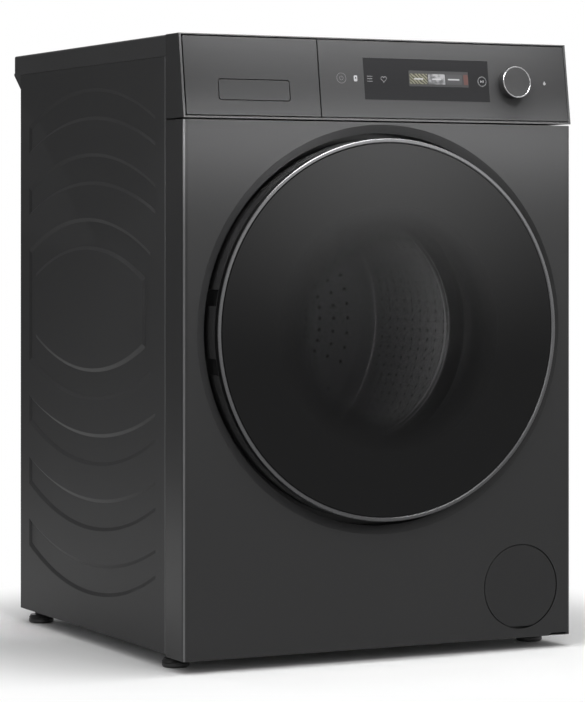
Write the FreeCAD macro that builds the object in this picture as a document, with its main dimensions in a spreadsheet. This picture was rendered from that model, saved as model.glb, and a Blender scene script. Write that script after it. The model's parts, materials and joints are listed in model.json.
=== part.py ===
import FreeCAD, Part
import math
import os
import re
import Sketcher

# Front loading washing machine. Millimetres, +Z up, the door faces -Y, the origin is on the floor
# under the middle of the whole machine.
# "Depth" below always means the distance behind the plane of the front panel.

document = FreeCAD.newDocument("WashingMachine")
Vector = FreeCAD.Vector

sizes = {
    # cabinet
    "cabinetWidth": "600", "cabinetHeight": "850", "bodyDepth": "593", "rearOverhang": "27",
    "sheetGauge": "1", "panelBottom": "17", "frontReturn": "58", "seamGap": "1", "cornerRadius": "6",
    "sideBottom": "20", "flangeWidth": "14", "lipNotchWidth": "33", "lipNotchHeight": "3.5",
    "stillGap": "0.3", "pinGap": "0.05", "worktopThickness": "29", "worktopBoard": "16",
    "worktopRim": "12", "worktopRadius": "3", "skirtDrop": "22", "topFrameHeight": "15",
    "topFrameWidth": "30", "topFrameWall": "2",
    # pressed bands of the side panels
    "bandEndHeight": "40", "bandMidHeight": "45", "bandRise": "42", "bandLow": "157",
    "bandFront": "92", "bandDepth": "2.5", "bandSlope": "5", "loopInset": "17", "loopWidth": "27",
    "bandTopInset": "118.7", "bandRearInset": "35", "loopHeight": "85",
    # base, feet
    "basePlate": "3", "baseRail": "40", "baseWeb": "30", "footInset": "22.5", "footFront": "76",
    "footRadius": "18.5", "footHeight": "12", "studRadius": "5", "studLength": "36",
    "locknutFlats": "17", "locknutHeight": "6", "footBoss": "10", "footBossHeight": "9",
    "footRearInset": "27",
    # door and its recess
    "doorProud": "23", "doorRearDepth": "23", "recessChamfer": "5.6", "recessDepth": "34",
    "mouthLip": "10", "bezelWidth": "5.5", "bezelDepth": "10.2", "doorGlassThickness": "4",
    "doorGlassSet": "1", "doorWall": "3", "frameSplit": "8", "bowlThickness": "5", "bowlRim": "4",
    "bowlDepth": "123", "pinForward": "8", "hingePinRadius": "3", "eyeRadius": "6", "armReach": "22",
    "armSet": "26", "armThickness": "6", "armHeight": "18", "armSpacing": "92", "slotGap": "2",
    "hingePlateWidth": "56", "hingePlateHeight": "150", "hingePlateThickness": "2.5",
    "pinOverhang": "8", "hookWidth": "7", "hookHeight": "14", "hookReach": "50", "notchDepth": "40",
    "notchLength": "6", "lockWidth": "44", "lockHeight": "84", "lockDepth": "32", "lockSlot": "16",
    "boltSide": "5.4", "recessSideMargin": "20", "recessLow": "172", "recessTopMargin": "3",
    "recessLedge": "11.7", "doorGap": "7.8", "mouthInset": "80.5", "pinInset": "20.5",
    "hookInset": "47.5", "frameLap": "16", "bowlLap": "25", "bowlGap": "9", "bowlSealInset": "11",
    "bowlEndInset": "23", "bowlNoseInset": "43",
    # control fascia, drawn on a plane that leans back
    "leanBack": "16", "fasciaSkin": "3", "trimWidth": "3", "fasciaGap": "2", "fasciaStep": "0.8",
    "drawerSeam": "205", "drawerFrontThickness": "3", "displayWidth": "197", "displayLow": "27.1",
    "displayHeight": "58", "displayThickness": "1.6", "screenWidth": "98", "screenLow": "43.6",
    "screenHeight": "30", "screenDepth": "6", "dialHeight": "53.4", "dialRadius": "22.3",
    "dialLength": "17", "dialGap": "2", "dialRingWidth": "1.7", "dialRingDepth": "2",
    "dialShaftRadius": "3", "dialShaftLength": "34", "encoderSide": "26", "encoderFront": "10",
    "boardDepth": "24", "boardThickness": "3", "boardLow": "8.6", "boardHeight": "92",
    "boardWidth": "310", "frameTop": "1.5", "ledgeWidth": "8", "ledgeThickness": "2", "bayDepth": "12",
    "fasciaHeight": "110.6", "fasciaSeam": "4.4", "trimSeam": "2.2", "displaySpan": "233.3",
    "screenInset": "68.3",
    "dialInset": "93",
    # detergent drawer
    "flapLeft": "53", "flapWidth": "107", "flapLow": "21.8", "flapHeight": "29.5",
    "flapThickness": "2.5", "flapGap": "1.2", "flapRadius": "4", "flapInnerRadius": "3.3",
    "pocketDepth": "24", "pocketWall": "2", "flapPinRadius": "0.9", "flapPinSet": "1.5",
    "flapPinDrop": "1.4", "returnDepth": "8", "trayLeft": "20", "trayWidth": "178", "trayHeight": "44",
    "trayFront": "40", "trayRear": "245", "trayWall": "2", "earFront": "11.6", "housingWall": "2.5",
    "housingGap": "0.9", "siphonWidth": "52", "trayLift": "10.6",
    # filter cover and drain pump
    "coverHeight": "88.8", "coverRadius": "58", "coverGap": "1.3", "coverThickness": "2",
    "coverGripHeight": "2.6", "coverFrameWall": "2", "clipSpread": "32", "clipWidth": "8",
    "clipThickness": "2", "clipLength": "13", "filterRadius": "25", "filterWall": "3.5",
    "filterFront": "24", "filterLength": "70", "pumpEnd": "130", "voluteRadius": "36",
    "voluteDepth": "22", "pumpMotorSide": "56", "pumpMotorLength": "44", "impellerRadius": "17",
    "pumpCorner": "5", "pumpInletReach": "28", "drainArm": "16", "impellerShaft": "2",
    "coverInset": "82",
    # tub
    "tubWall": "3.5", "tubFront": "92", "tubSplit": "250", "tubBackWall": "7", "tubFlange": "8",
    "neckLength": "14", "hubRadius": "46", "frontBearingOuter": "31", "frontBearingBore": "15",
    "frontBearingWidth": "16", "rearBearingOuter": "26", "rearBearingBore": "12.5",
    "rearBearingWidth": "15", "sealWidth": "8", "drumGauge": "1", "drumFront": "110",
    "drumCorner": "8", "lifterHeight": "55", "lifterBase": "64", "lifterTop": "24",
    "lifterFront": "150", "lifterWall": "3", "spiderThickness": "18", "spiderArm": "26",
    "spiderHub": "34", "statorInner": "52", "statorCore": "78", "statorOuter": "118",
    "statorDepth": "26", "statorPoles": "24", "statorPost": "66", "poleWidth": "9", "rotorGap": "2",
    "magnetThickness": "6", "rotorWall": "3", "rotorHub": "22", "rotorHubLength": "8",
    "nutFlats": "24", "nutHeight": "9", "weightWidth": "300", "weightCorner": "15",
    "weightFront": "262", "frontWeightFace": "52", "heaterTube": "3.5", "heaterSpread": "24",
    "heaterSlotHeight": "14", "heaterFront": "300", "heaterPlate": "70", "heaterPlateHeight": "20",
    "tubInset": "17.5", "neckGap": "2", "motorSpace": "88", "hubInset": "14", "hubReach": "35",
    "drumLap": "16", "drumGap": "22.5", "drumRearGap": "35", "lifterInset": "30", "statorGap": "5",
    "rotorLength": "39", "threadLength": "23", "weightGap": "31", "weightInset": "35",
    "frontWeightGap": "6.5", "frontWeightWidth": "50", "frontWeightDrop": "67", "heaterGap": "10.5",
    "gasketReach": "16.4",
    # suspension
    "springDepth": "330", "springRadius": "12", "springWire": "3.5", "lugEnd": "8",
    "lugThickness": "4", "springTurns": "11", "lugHeight": "12", "lugWidth": "22", "hookRadius": "8",
    "tabHalf": "7", "damperFront": "185", "damperRadius": "16", "damperWall": "3", "damperFoot": "40",
    "damperTop": "150", "rodRadius": "6", "pistonLength": "30", "springInset": "28",
    "springSeat": "16.8", "springDrop": "46", "damperInset": "112.5", "damperInsetRear": "105",
    "rodDrop": "240",
    # hoses and rear fittings
    "hoseWall": "3", "pumpHoseStart": "15", "sumpHoseRadius": "23",
    "sumpX": "60", "sumpDepth": "115", "sumpBend": "50",
    "pumpInletHeight": "100", "fillHoseX": "190", "fillHoseDepth": "215", "fillHoseRadius": "17",
    "valveHoseRadius": "6", "valveHoseTurn": "40", "spigotRadius": "13.2", "spigotWall": "3.5",
    "spigotLength": "17",
    "valveSide": "44", "valveCorner": "5", "coilHeight": "12", "valveDepth": "40", "drainHeight": "75",
    "drainHoseRadius": "11", "drainSpigotRadius": "9.5", "drainSpigotLength": "20", "drainBore": "5.5",
    "glandRadius": "11", "glandBore": "4", "glandLength": "14", "transitSpreadX": "190",
    "transitRadius": "17", "transitPlug": "11", "serviceWidth": "330", "serviceHeight": "330",
    "screwHead": "4", "screwHeadHeight": "2.2", "screwShank": "1.9", "screwLow": "80",
    "coverCorner": "12", "screwLength": "8", "screwTopInset": "50.7", "sumpLap": "10.5",
    "sumpSpigotLength": "40", "fillHoseLength": "74", "valveInset": "100", "valveDrop": "56",
    "drainInset": "38", "glandInset": "70", "glandDrop": "51", "transitDrop": "92",
    "transitRise": "188", "serviceDrop": "162",
}

# Places that follow from the sizes.
places = {
    "halfWidth": "cabinetWidth / 2",
    "frontY": "-(bodyDepth + rearOverhang - doorProud) / 2",
    "rearY": "frontY + bodyDepth",
    "backPanelDepth": "bodyDepth - sheetGauge - stillGap",
    "worktopLow": "cabinetHeight - worktopThickness",
    "sideFrontY": "frontY + frontReturn + seamGap",
    "sideTop": "worktopLow - stillGap",
    "baseLow": "sideBottom + sheetGauge + stillGap",
    "footRear": "bodyDepth - footRearInset",
    "bandTop": "sideTop - bandTopInset",
    "bandRear": "bodyDepth - bandRearInset",
    "bandPitch": "(bandTop - bandLow - loopHeight) / 5",
    "screwPitch": "(sideTop - screwTopInset - screwLow) / 3",
    "fasciaBottom": "cabinetHeight - fasciaHeight",
    "panelTop": "fasciaBottom - fasciaSeam",
    "leanAngle": "atan(leanBack / fasciaHeight)",
    "fasciaSlant": "sqrt(fasciaHeight ^ 2 + leanBack ^ 2)",
    "recessRadius": "min(halfWidth - recessSideMargin; (panelTop - recessTopMargin - recessLow) / 2)",
    "recessInner": "recessRadius - recessLedge",
    "doorHeight": "recessLow + recessRadius",
    "doorRadius": "recessInner - doorGap",
    "mouthRadius": "doorRadius - mouthInset",
    "pinX": "doorRadius - pinInset",
    "pinY": "frontY - pinForward",
    "hookX": "doorRadius - hookInset",
    "frameInner": "mouthRadius + frameLap",
    "bowlFlange": "mouthRadius + bowlLap",
    "bowlNeck": "mouthRadius - bowlGap",
    "armLength": "sqrt(armReach ^ 2 + armSet ^ 2)",
    "armAngle": "atan2(armSet; armReach)",
    "displayLeft": "dialX - displaySpan",
    "screenLeft": "displayLeft + screenInset",
    "dialX": "cabinetWidth - dialInset",
    "dialCentreX": "dialX - halfWidth",
    "coverCentreX": "halfWidth - coverInset",
    "trayLow": "fasciaBottom + trayLift",
    "housingLow": "trayLow - housingGap - housingWall",
    "housingTop": "trayLow + trayHeight + housingGap + housingWall",
    "tubRadius": "recessRadius - tubInset",
    "tubOuter": "tubRadius + tubWall",
    "tubNeck": "mouthRadius + neckGap",
    "tubRear": "bodyDepth - motorSpace",
    "hubFront": "tubRear - hubInset",
    "hubRear": "tubRear + hubReach",
    "drumMouth": "tubNeck - drumLap",
    "drumRadius": "tubRadius - drumGap",
    "drumRear": "tubRear - drumRearGap",
    "lifterRear": "drumRear - lifterInset",
    "statorFront": "tubRear + statorGap",
    "rotorRear": "statorFront + rotorLength",
    "shaftEnd": "rotorRear + threadLength",
    "rotorOuter": "statorOuter + rotorGap + magnetThickness + rotorWall",
    "weightTop": "worktopLow - weightGap",
    "weightRear": "tubRear - weightInset",
    "frontWeightOuter": "tubRadius - frontWeightGap",
    "frontWeightInner": "frontWeightOuter - frontWeightWidth",
    "frontWeightTop": "doorHeight - frontWeightDrop",
    "heaterRing": "tubRadius - heaterGap",
    "springX": "halfWidth - springInset",
    "springLow": "doorHeight + tubOuter * 0.7 + springSeat",
    "springHigh": "worktopLow - springDrop",
    "damperX": "tubRadius - damperInset",
    "damperRear": "tubRear - damperInsetRear",
    "rodTop": "doorHeight - rodDrop",
    "sumpSpigotTop": "doorHeight - tubRadius + sumpLap",
    "sumpSpigotLow": "sumpSpigotTop - sumpSpigotLength",
    "fillSpigotTop": "housingLow - fillHoseLength",
    "valveX": "halfWidth - valveInset",
    "valveHeight": "worktopLow - valveDrop",
    "drainX": "halfWidth - drainInset",
    "glandX": "halfWidth - glandInset",
    "glandHeight": "worktopLow - glandDrop",
    "transitLow": "doorHeight - transitDrop",
    "transitHigh": "doorHeight + transitRise",
    "serviceLow": "doorHeight - serviceDrop",
    "bowlSealRadius": "bowlNeck - bowlSealInset",
    "bowlEndRadius": "bowlNeck - bowlEndInset",
    "bowlNose": "bowlNeck - bowlNoseInset",
    "gasketLip": "mouthRadius - gasketReach",
}


def makeSheet(name, cells):
    sheet = document.addObject("Spreadsheet::Sheet", name)
    for row, (alias, content) in enumerate(cells.items(), start=1):
        sheet.set(f"A{row}", alias)
        sheet.set(f"B{row}", content)
        sheet.setAlias(f"B{row}", alias)
    return sheet


def bound(text):
    """The expression with each size or place written as a cell of its sheet."""
    def cell(word):
        name = word.group()
        if name in sizes:
            return "Sizes." + name
        return "Places." + name if name in places else name
    return re.sub(r"[A-Za-z]+", cell, str(text))


sizesSheet = makeSheet("Sizes", sizes)
placesSheet = makeSheet("Places", {name: "=" + bound(text) for name, text in places.items()})
document.recompute()


def mm(name):
    """The present value of one size or place."""
    return float((sizesSheet if name in sizes else placesSheet).get(name))


def bind(thing, **properties):
    for name, text in properties.items():
        thing.setExpression(name.replace("_", "."), bound(text))
    return thing


def place(thing, x=0, y=0, z=0, axis=None, angle=0):
    """Bind a placement: a base point and, if there is an axis, a turn about it in degrees."""
    if axis is not None:
        thing.Placement = FreeCAD.Placement(Vector(), FreeCAD.Rotation(Vector(*axis), 1))
        bind(thing, Placement_Rotation_Angle=angle)
    return bind(thing, Placement_Base_x=x, Placement_Base_y=y, Placement_Base_z=z)


def box(x, y, z, length, width, height):
    """A box between x and x + length, and so on along Y and Z."""
    block = bind(document.addObject("Part::Box", "Block"), Length=length, Width=width, Height=height)
    return place(block, x, y, z)


def rod(x, y, z, radius, length, along="Y"):
    """A cylinder from the point, towards +X, +Y or +Z."""
    cylinder = bind(document.addObject("Part::Cylinder", "Rod"), Radius=radius, Height=length)
    turns = {"X": ((0, 1, 0), 90), "Y": ((-1, 0, 0), 90), "Z": (None, 0)}
    return place(cylinder, x, y, z, *turns[along])


def fuse(*parts):
    joined = document.addObject("Part::MultiFuse", "Joined")
    joined.Shapes = list(parts)
    return joined


def cut(base, *tools):
    """The base less all the tools."""
    result = document.addObject("Part::Cut", "Trimmed")
    result.Base = base
    result.Tool = tools[0] if len(tools) == 1 else fuse(*tools)
    return result


def group(*parts):
    """Several separate solids as one object."""
    compound = document.addObject("Part::Compound", "Set")
    compound.Links = list(parts)
    return compound


def rounded(base, radius, direction, **where):
    """Fillet the base's straight edges along a direction, at the given lowest or highest sides."""
    document.recompute()
    limits = base.Shape.BoundBox
    chosen = []
    for number, edge in enumerate(base.Shape.Edges, start=1):
        along = edge.Vertexes[-1].Point - edge.Vertexes[0].Point
        if along.Length < 1e-6 or abs(abs(along.normalize().dot(Vector(*direction))) - 1) > 1e-6:
            continue
        middle = edge.CenterOfMass
        sides = {"lowX": middle.x - limits.XMin, "highX": limits.XMax - middle.x,
                 "lowY": middle.y - limits.YMin, "highY": limits.YMax - middle.y,
                 "lowZ": middle.z - limits.ZMin, "highZ": limits.ZMax - middle.z}
        if all(sides[side] < 1e-3 for side, wanted in where.items() if wanted):
            chosen.append((number, mm(radius), mm(radius)))
    fillet = document.addObject("Part::Fillet", "Rounded")
    fillet.Base = base
    fillet.Edges = chosen
    return fillet


def outline(body, plane, corners):
    """A closed sketch through corners that are pairs of expressions, fixed to the body's plane."""
    sketch = body.newObject("Sketcher::SketchObject", "Outline")
    origin = next(f for f in body.Origin.OriginFeatures if f.Role == plane)
    sketch.AttachmentSupport = [(origin, "")]
    sketch.MapMode = "FlatFace"
    count = len(corners)
    start = [Vector(100 * math.cos(math.tau * n / count + 0.3),
                    100 * math.sin(math.tau * n / count + 0.3), 0) for n in range(count)]
    for n in range(count):
        sketch.addGeometry(Part.LineSegment(start[n], start[(n + 1) % count]), False)
    for n in range(count):
        sketch.addConstraint(Sketcher.Constraint("Coincident", n, 2, (n + 1) % count, 1))
    for n, (across, up) in enumerate(corners):
        for kind, value, text in (("DistanceX", start[n].x, across), ("DistanceY", start[n].y, up)):
            index = sketch.addConstraint(Sketcher.Constraint(kind, -1, 1, n, 1, value))
            sketch.setExpression(f"Constraints[{index}]", bound(text))
    return sketch


def turned(corners, plane="XY_Plane"):
    """A body turned about the sketch's vertical axis; corners are (radius, place along the axis)."""
    body = document.addObject("PartDesign::Body", "Turned")
    profile = outline(body, plane, corners)
    turn = body.newObject("PartDesign::Revolution", "Turn")
    turn.Profile = profile
    turn.ReferenceAxis = (profile, ["V_Axis"])
    turn.Angle = 360
    return body


def padded(corners, length, plane="YZ_Plane"):
    """A body padded evenly to both sides of the sketch's plane."""
    body = document.addObject("PartDesign::Body", "Padded")
    profile = outline(body, plane, corners)
    pad = body.newObject("PartDesign::Pad", "Pad")
    pad.Profile = profile
    pad.SideType = "Symmetric"
    return bind(pad, Length=length) and body


def centred(thing, height="doorHeight"):
    """Put a body that was turned about Y on the axis of the door or another height."""
    return place(thing, 0, "frontY", height)


nodes = []


def node(label, thing):
    """Name a finished sub-part; its label names its file."""
    thing.Label = label
    nodes.append(thing)
    return thing


def shaped(shape):
    """A sub-part whose form no primitive or body gives, such as a coil or a hose."""
    feature = document.addObject("Part::Feature", "Shaped")
    feature.Shape = shape
    return feature


def mirrored(source):
    """The same part on the other side of the machine."""
    twin = document.addObject("Part::Mirroring", "Twin")
    twin.Source = source
    twin.Normal = Vector(1, 0, 0)
    return twin


# ---- cabinet ----

def bandEdge(depthA, depthB, endHeight, rise):
    """An arc on a side panel, from one depth to the other, that rises by the given amount midway."""
    first = Vector(0, mm("frontY") + depthA, endHeight)
    last = Vector(0, mm("frontY") + depthB, endHeight)
    middle = Vector(0, (first.y + last.y) / 2, endHeight + rise)
    return Part.Arc(first, middle, last).toShape()


def bandWire(band, inset):
    """The closed outline of a band, two arcs and two upright ends, drawn in by the inset all round."""
    depthA, depthB, lowEnd, lowRise, highEnd, highRise = band
    depthA, depthB, lowEnd, highEnd = depthA + inset, depthB - inset, lowEnd + inset, highEnd - inset
    low = bandEdge(depthA, depthB, lowEnd, lowRise)
    high = bandEdge(depthB, depthA, highEnd, highRise)
    ends = [Part.makeLine(Vector(0, mm("frontY") + depth, lowEnd), Vector(0, mm("frontY") + depth, highEnd))
            for depth in (depthA, depthB)]
    return Part.Wire(Part.__sortEdges__([low, ends[1], high, ends[0]]))


def pressing(band, spread, slope, surface):
    """A shallow block whose outline shrinks by the slope from the surface inwards."""
    wide, deep = bandWire(band, -spread), bandWire(band, slope - spread)
    wide.translate(Vector(surface, 0, 0))
    deep.translate(Vector(surface - mm("bandDepth"), 0, 0))
    return Part.makeLoft([wide, deep], True, True)


def bandBlocks(spread, shift):
    """All bands of the right-hand panel as blocks, for the recess or for the bulge behind it."""
    end, middle, rise = mm("bandEndHeight"), mm("bandMidHeight"), mm("bandRise")
    front, rear, pitch = mm("bandFront"), mm("bandRear"), mm("bandPitch")
    surface, slope = mm("halfWidth") - shift, mm("bandSlope")
    highRise = rise + middle - end
    blocks = []
    for n in range(2):
        low = mm("bandTop") - n * pitch
        blocks.append(pressing((front, rear, low, rise, low + end, highRise), spread, slope, surface))
    for n in range(3):
        high = mm("bandLow") + n * pitch
        blocks.append(pressing((front, rear, high - end, -highRise, high, -rise), spread, slope, surface))
    loopTop = mm("bandTop") - 2 * pitch
    loopLow = mm("bandLow") + 3 * pitch
    inset, width = mm("loopInset"), mm("loopWidth")
    outer = (front + inset, rear, loopLow - end, -highRise, loopTop + end, highRise)
    inner = (front + inset + width, rear - width, loopLow, -rise, loopTop, rise)
    blocks.append(pressing(outer, spread, slope, surface).cut(pressing(inner, -spread, -slope, surface)))
    return Part.makeCompound(blocks)


def makeSidePanels():
    height = "sideTop - sideBottom"
    length = "bodyDepth - frontReturn - seamGap"
    inner = "halfWidth - sheetGauge - flangeWidth"
    skin = box("halfWidth - sheetGauge", "sideFrontY", "sideBottom", "sheetGauge", length, height)
    wide = "flangeWidth + sheetGauge"
    front = box(inner, "sideFrontY", "sideBottom", wide, "sheetGauge", height)
    rear = box(inner, "rearY - sheetGauge", "sideBottom", wide, "sheetGauge", height)
    low = box(inner, "sideFrontY", "sideBottom", wide, length, "sheetGauge")
    top = box(inner, "sideFrontY", "sideTop - sheetGauge", wide, length, "sheetGauge")
    bulges = shaped(bandBlocks(mm("sheetGauge") / 2, mm("sheetGauge")))
    recesses = shaped(bandBlocks(0, 0))
    screwHoles = [rod(x, "rearY - 2 * sheetGauge", z, "screwShank + pinGap", "3 * sheetGauge")
                  for x, z in edgeScrews("")]
    panel = cut(fuse(skin, front, rear, low, top, bulges), recesses, *screwHoles)
    node("side_panel_right", panel)
    node("side_panel_left", mirrored(panel))


def makeFrontPanel():
    height = "panelTop - panelBottom"
    outer = rounded(box("-halfWidth", "frontY", "panelBottom", "cabinetWidth", "frontReturn", height),
                    "cornerRadius", (0, 0, 1), lowY=True)
    hollow = box("-halfWidth + sheetGauge", "frontY + sheetGauge", "panelBottom + sheetGauge",
                 "cabinetWidth - 2 * sheetGauge", "frontReturn", f"{height} - 2 * sheetGauge")
    inner = rounded(hollow, "cornerRadius", (0, 0, 1), lowY=True)
    doorHole = rod(0, "frontY - 1", "doorHeight", "recessRadius", "sheetGauge + 2")
    filterHole = rod("coverCentreX", "frontY - 1", "coverHeight", "coverRadius + coverGap",
                     "sheetGauge + 2")
    notch = box("halfWidth - lipNotchWidth", "frontY - 1", "panelBottom - 1", "lipNotchWidth + 1",
                "sheetGauge + 1", "lipNotchHeight + 1")
    recess = centred(turned([
        ("recessRadius", 0), ("recessInner", "recessChamfer"), ("recessInner", "recessDepth"),
        ("mouthRadius", "recessDepth"), ("mouthRadius", "recessDepth + mouthLip"),
        ("mouthRadius + sheetGauge", "recessDepth + mouthLip"),
        ("mouthRadius + sheetGauge", "recessDepth + sheetGauge"),
        ("recessInner + sheetGauge", "recessDepth + sheetGauge"),
        ("recessInner + sheetGauge", "recessChamfer + sheetGauge / 2"),
        ("recessRadius + 2 * sheetGauge", "sheetGauge"), ("recessRadius + 2 * sheetGauge", 0)]))
    armHoles = [box("-pinX + armReach - armThickness / 2 - slotGap", "frontY + recessDepth - 1",
                    f"doorHeight {side} armSpacing / 2 - armHeight / 2 - slotGap",
                    "armThickness + 2 * slotGap", "sheetGauge + 2", "armHeight + 2 * slotGap")
                for side in ("+", "-")]
    hookHole = box("hookX - lockSlot / 2", "frontY + recessDepth - 1",
                   "doorHeight - hookHeight / 2 - slotGap",
                   "lockSlot", "sheetGauge + 2", "hookHeight + 2 * slotGap")
    sheetBody = cut(cut(outer, inner), doorHole, filterHole, notch)
    node("front_panel", cut(fuse(sheetBody, recess), *armHoles, hookHole))


def makeWorktop():
    deep = "bodyDepth + rearOverhang - frontReturn - stillGap"
    start = "frontY + frontReturn + stillGap"
    slab = box("-halfWidth", start, "worktopLow", "cabinetWidth", deep, "worktopThickness")
    for direction, sides in (((1, 0, 0), {"highZ": True, "highY": True}),
                             ((0, 1, 0), {"highZ": True, "lowX": True}),
                             ((0, 1, 0), {"highZ": True, "highX": True})):
        slab = rounded(slab, "worktopRadius", direction, **sides)
    under = box("-halfWidth + worktopRim", f"{start} + worktopRim", "worktopLow - 1",
                "cabinetWidth - 2 * worktopRim", f"{deep} - 2 * worktopRim - rearOverhang",
                "worktopThickness - worktopBoard + 1")
    behind = "rearY + stillGap"
    skirt = padded([(behind, "worktopLow - skirtDrop"), ("rearY + rearOverhang", "worktopLow"),
                    ("rearY + rearOverhang", "worktopLow + worktopRadius"),
                    (behind, "worktopLow + worktopRadius")], "cabinetWidth")
    node("worktop", fuse(cut(slab, under), skirt))


def makeTopFrame():
    """The steel frame under the worktop, with the tabs that the tub's springs hang from."""
    low = "worktopLow - topFrameHeight - stillGap"
    front = "sideFrontY + sheetGauge + stillGap"
    back = "rearY - 2 * sheetGauge - 2 * stillGap"
    half = "halfWidth - sheetGauge - bandDepth - 2 * stillGap - 1"
    height = "topFrameHeight - sheetGauge - stillGap"
    ring = cut(box(f"-({half})", front, low, f"2 * ({half})", f"{back} - ({front})", height),
               box(f"-({half}) + topFrameWidth", f"{front} + topFrameWidth", f"{low} - 1",
                   f"2 * ({half} - topFrameWidth)", f"{back} - ({front}) - 2 * topFrameWidth",
                   f"{height} + 2"),
               box(f"-({half}) + topFrameWall", f"{front} + topFrameWall", f"{low} - topFrameWall",
                   f"2 * ({half} - topFrameWall)", f"{back} - ({front}) - 2 * topFrameWall", height))
    hole = "springHigh + 2 * hookRadius"
    tabs = []
    for side in ("", "-"):
        tab = box(f"{side}springX - tabHalf", "frontY + springDepth - topFrameWall / 2",
                  f"{hole} - tabHalf",
                  "2 * tabHalf", "topFrameWall", f"{low} + {height} - ({hole}) + tabHalf")
        tabs.append(cut(tab, rod(f"{side}springX", "frontY + springDepth - topFrameWall", hole,
                                 "springWire / 2 + 2 * stillGap", "2 * topFrameWall")))
    node("top_frame", fuse(ring, *tabs))


def makeBackPanel():
    half = "halfWidth - sheetGauge - stillGap"
    front = "frontY + backPanelDepth - sheetGauge"
    low, high = "baseLow + basePlate + stillGap", "sideTop - sheetGauge - stillGap"
    plate = box(f"-({half})", front, low, f"2 * ({half})", "sheetGauge", f"{high} - ({low})")
    window = box("-serviceWidth / 2 + flangeWidth", f"{front} - 1", "serviceLow + flangeWidth",
                 "serviceWidth - 2 * flangeWidth", "sheetGauge + 2", "serviceHeight - 2 * flangeWidth")
    holes = [rod(x, f"{front} - 1", z, radius, "sheetGauge + 2") for x, z, radius in rearHoles()]
    node("back_panel", cut(plate, window, *holes))
    cover = rounded(box("-serviceWidth / 2", "rearY - sheetGauge", "serviceLow", "serviceWidth",
                        "sheetGauge",
                        "serviceHeight"), "coverCorner", (0, 1, 0))
    holes = [rod(x, "rearY - sheetGauge - 1", z, "screwShank + pinGap", "sheetGauge + 2")
             for x, z in serviceScrews()]
    node("rear_service_cover", cut(cover, *holes))


def serviceScrews():
    inset = "serviceWidth / 2 - flangeWidth / 2"
    low, high = "serviceLow + flangeWidth / 2", "serviceLow + serviceHeight - flangeWidth / 2"
    return [(f"{side}({inset})", z) for side in ("", "-") for z in (low, high)]


def edgeScrews(*sides):
    inset = "halfWidth - sheetGauge - flangeWidth / 2"
    return [(f"{side}({inset})", f"screwLow + {n} * screwPitch") for side in sides for n in range(4)]


def transitPlaces():
    return [(f"{side}transitSpreadX", z) for side in ("", "-") for z in ("transitLow", "transitHigh")]


def rearHoles():
    """Centre and radius of each round hole of the back panel."""
    return ([(x, z, "screwShank + pinGap") for x, z in serviceScrews() + edgeScrews("", "-")]
            + [(x, z, "transitPlug + stillGap") for x, z in transitPlaces()]
            + [("valveX", "valveHeight", "spigotRadius + 2 * stillGap"),
               ("drainX", "drainHeight", "drainHoseRadius + stillGap"),
               ("-glandX", "glandHeight", "glandRadius - 2 * stillGap")])


def makeScrews():
    """Pan head screws round the back panel and the service cover."""
    screws = []
    seat = "rearY + stillGap / 3"
    for x, z in serviceScrews() + edgeScrews("", "-"):
        head = rod(x, seat, z, "screwHead", "screwHeadHeight")
        shank = rod(x, f"{seat} - screwLength", z, "screwShank", "screwLength + screwHeadHeight / 2")
        slot = box(f"{x} - screwHead / 6", f"{seat} + screwHeadHeight / 2", f"{z} - screwHead * 2 / 3",
                   "screwHead / 3", "screwHeadHeight", "screwHead * 4 / 3")
        screws.append(cut(fuse(head, shank), slot))
    node("panel_screws", group(*screws))


def makeTransitCaps():
    caps = []
    for x, z in transitPlaces():
        disc = rod(x, "frontY + backPanelDepth + stillGap / 3", z, "transitRadius", "sheetGauge")
        plug = rod(x, "frontY + backPanelDepth - 3 * sheetGauge", z, "transitPlug", "4 * sheetGauge")
        caps.append(fuse(disc, plug))
    node("transit_caps", group(*caps))


def makeBase():
    """The steel frame that the panels, feet, dampers and pump stand on."""
    half = "halfWidth - sheetGauge - stillGap"
    front = "sideFrontY + sheetGauge + stillGap"
    back = "frontY + backPanelDepth - sheetGauge - stillGap"
    depth = f"({back} - ({front}))"
    plate = box(f"-({half})", front, "baseLow", f"2 * ({half})", depth, "basePlate")
    window = box(f"-({half}) + baseRail", f"{front} + baseRail", "baseLow - 1", f"2 * ({half} - baseRail)",
                 f"{depth} - 2 * baseRail", "basePlate + 2")
    parts = [cut(plate, window)]
    for side in ("", "-"):
        edge = f"{side}({half} - baseRail) - basePlate / 2"
        parts.append(box(edge, front, "baseLow", "basePlate", depth, "baseWeb"))
    for row in ("damperFront", "damperRear"):
        middle = f"frontY + {row}"
        parts.append(box(f"-({half})", f"{middle} - baseRail / 2", "baseLow", f"2 * ({half})", "baseRail",
                         "basePlate"))
        parts.append(box(f"-({half} - baseRail)", f"{middle} + baseRail / 2 - basePlate", "baseLow",
                         f"2 * ({half} - baseRail)", "basePlate", "baseWeb / 2"))
    pump = box("coverCentreX - pumpMotorSide / 2", front, "baseLow", "pumpMotorSide",
               "pumpEnd + voluteDepth + pumpMotorLength - frontReturn", "basePlate")
    rest = box("coverCentreX - pumpMotorSide / 3", "frontY + pumpEnd + voluteDepth + 4 * stillGap",
               "baseLow",
               "pumpMotorSide * 2 / 3", "pumpMotorLength - 8 * stillGap",
               "coverHeight - pumpMotorSide / 2 - stillGap - baseLow")
    bosses, bores = [], []
    for x, depthName in footPlaces():
        bosses.append(rod(x, f"frontY + {depthName}", "baseLow", "footBoss", "basePlate + footBossHeight",
                          "Z"))
        bores.append(rod(x, f"frontY + {depthName}", "baseLow - 1", "studRadius + pinGap",
                         "basePlate + footBossHeight + 2", "Z"))
    node("base_frame", cut(fuse(*parts, pump, rest, *bosses), *bores))


def footPlaces():
    return [(f"{side}(halfWidth - footInset)", depth) for depth in ("footFront", "footRear")
            for side in ("-", "")]


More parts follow.
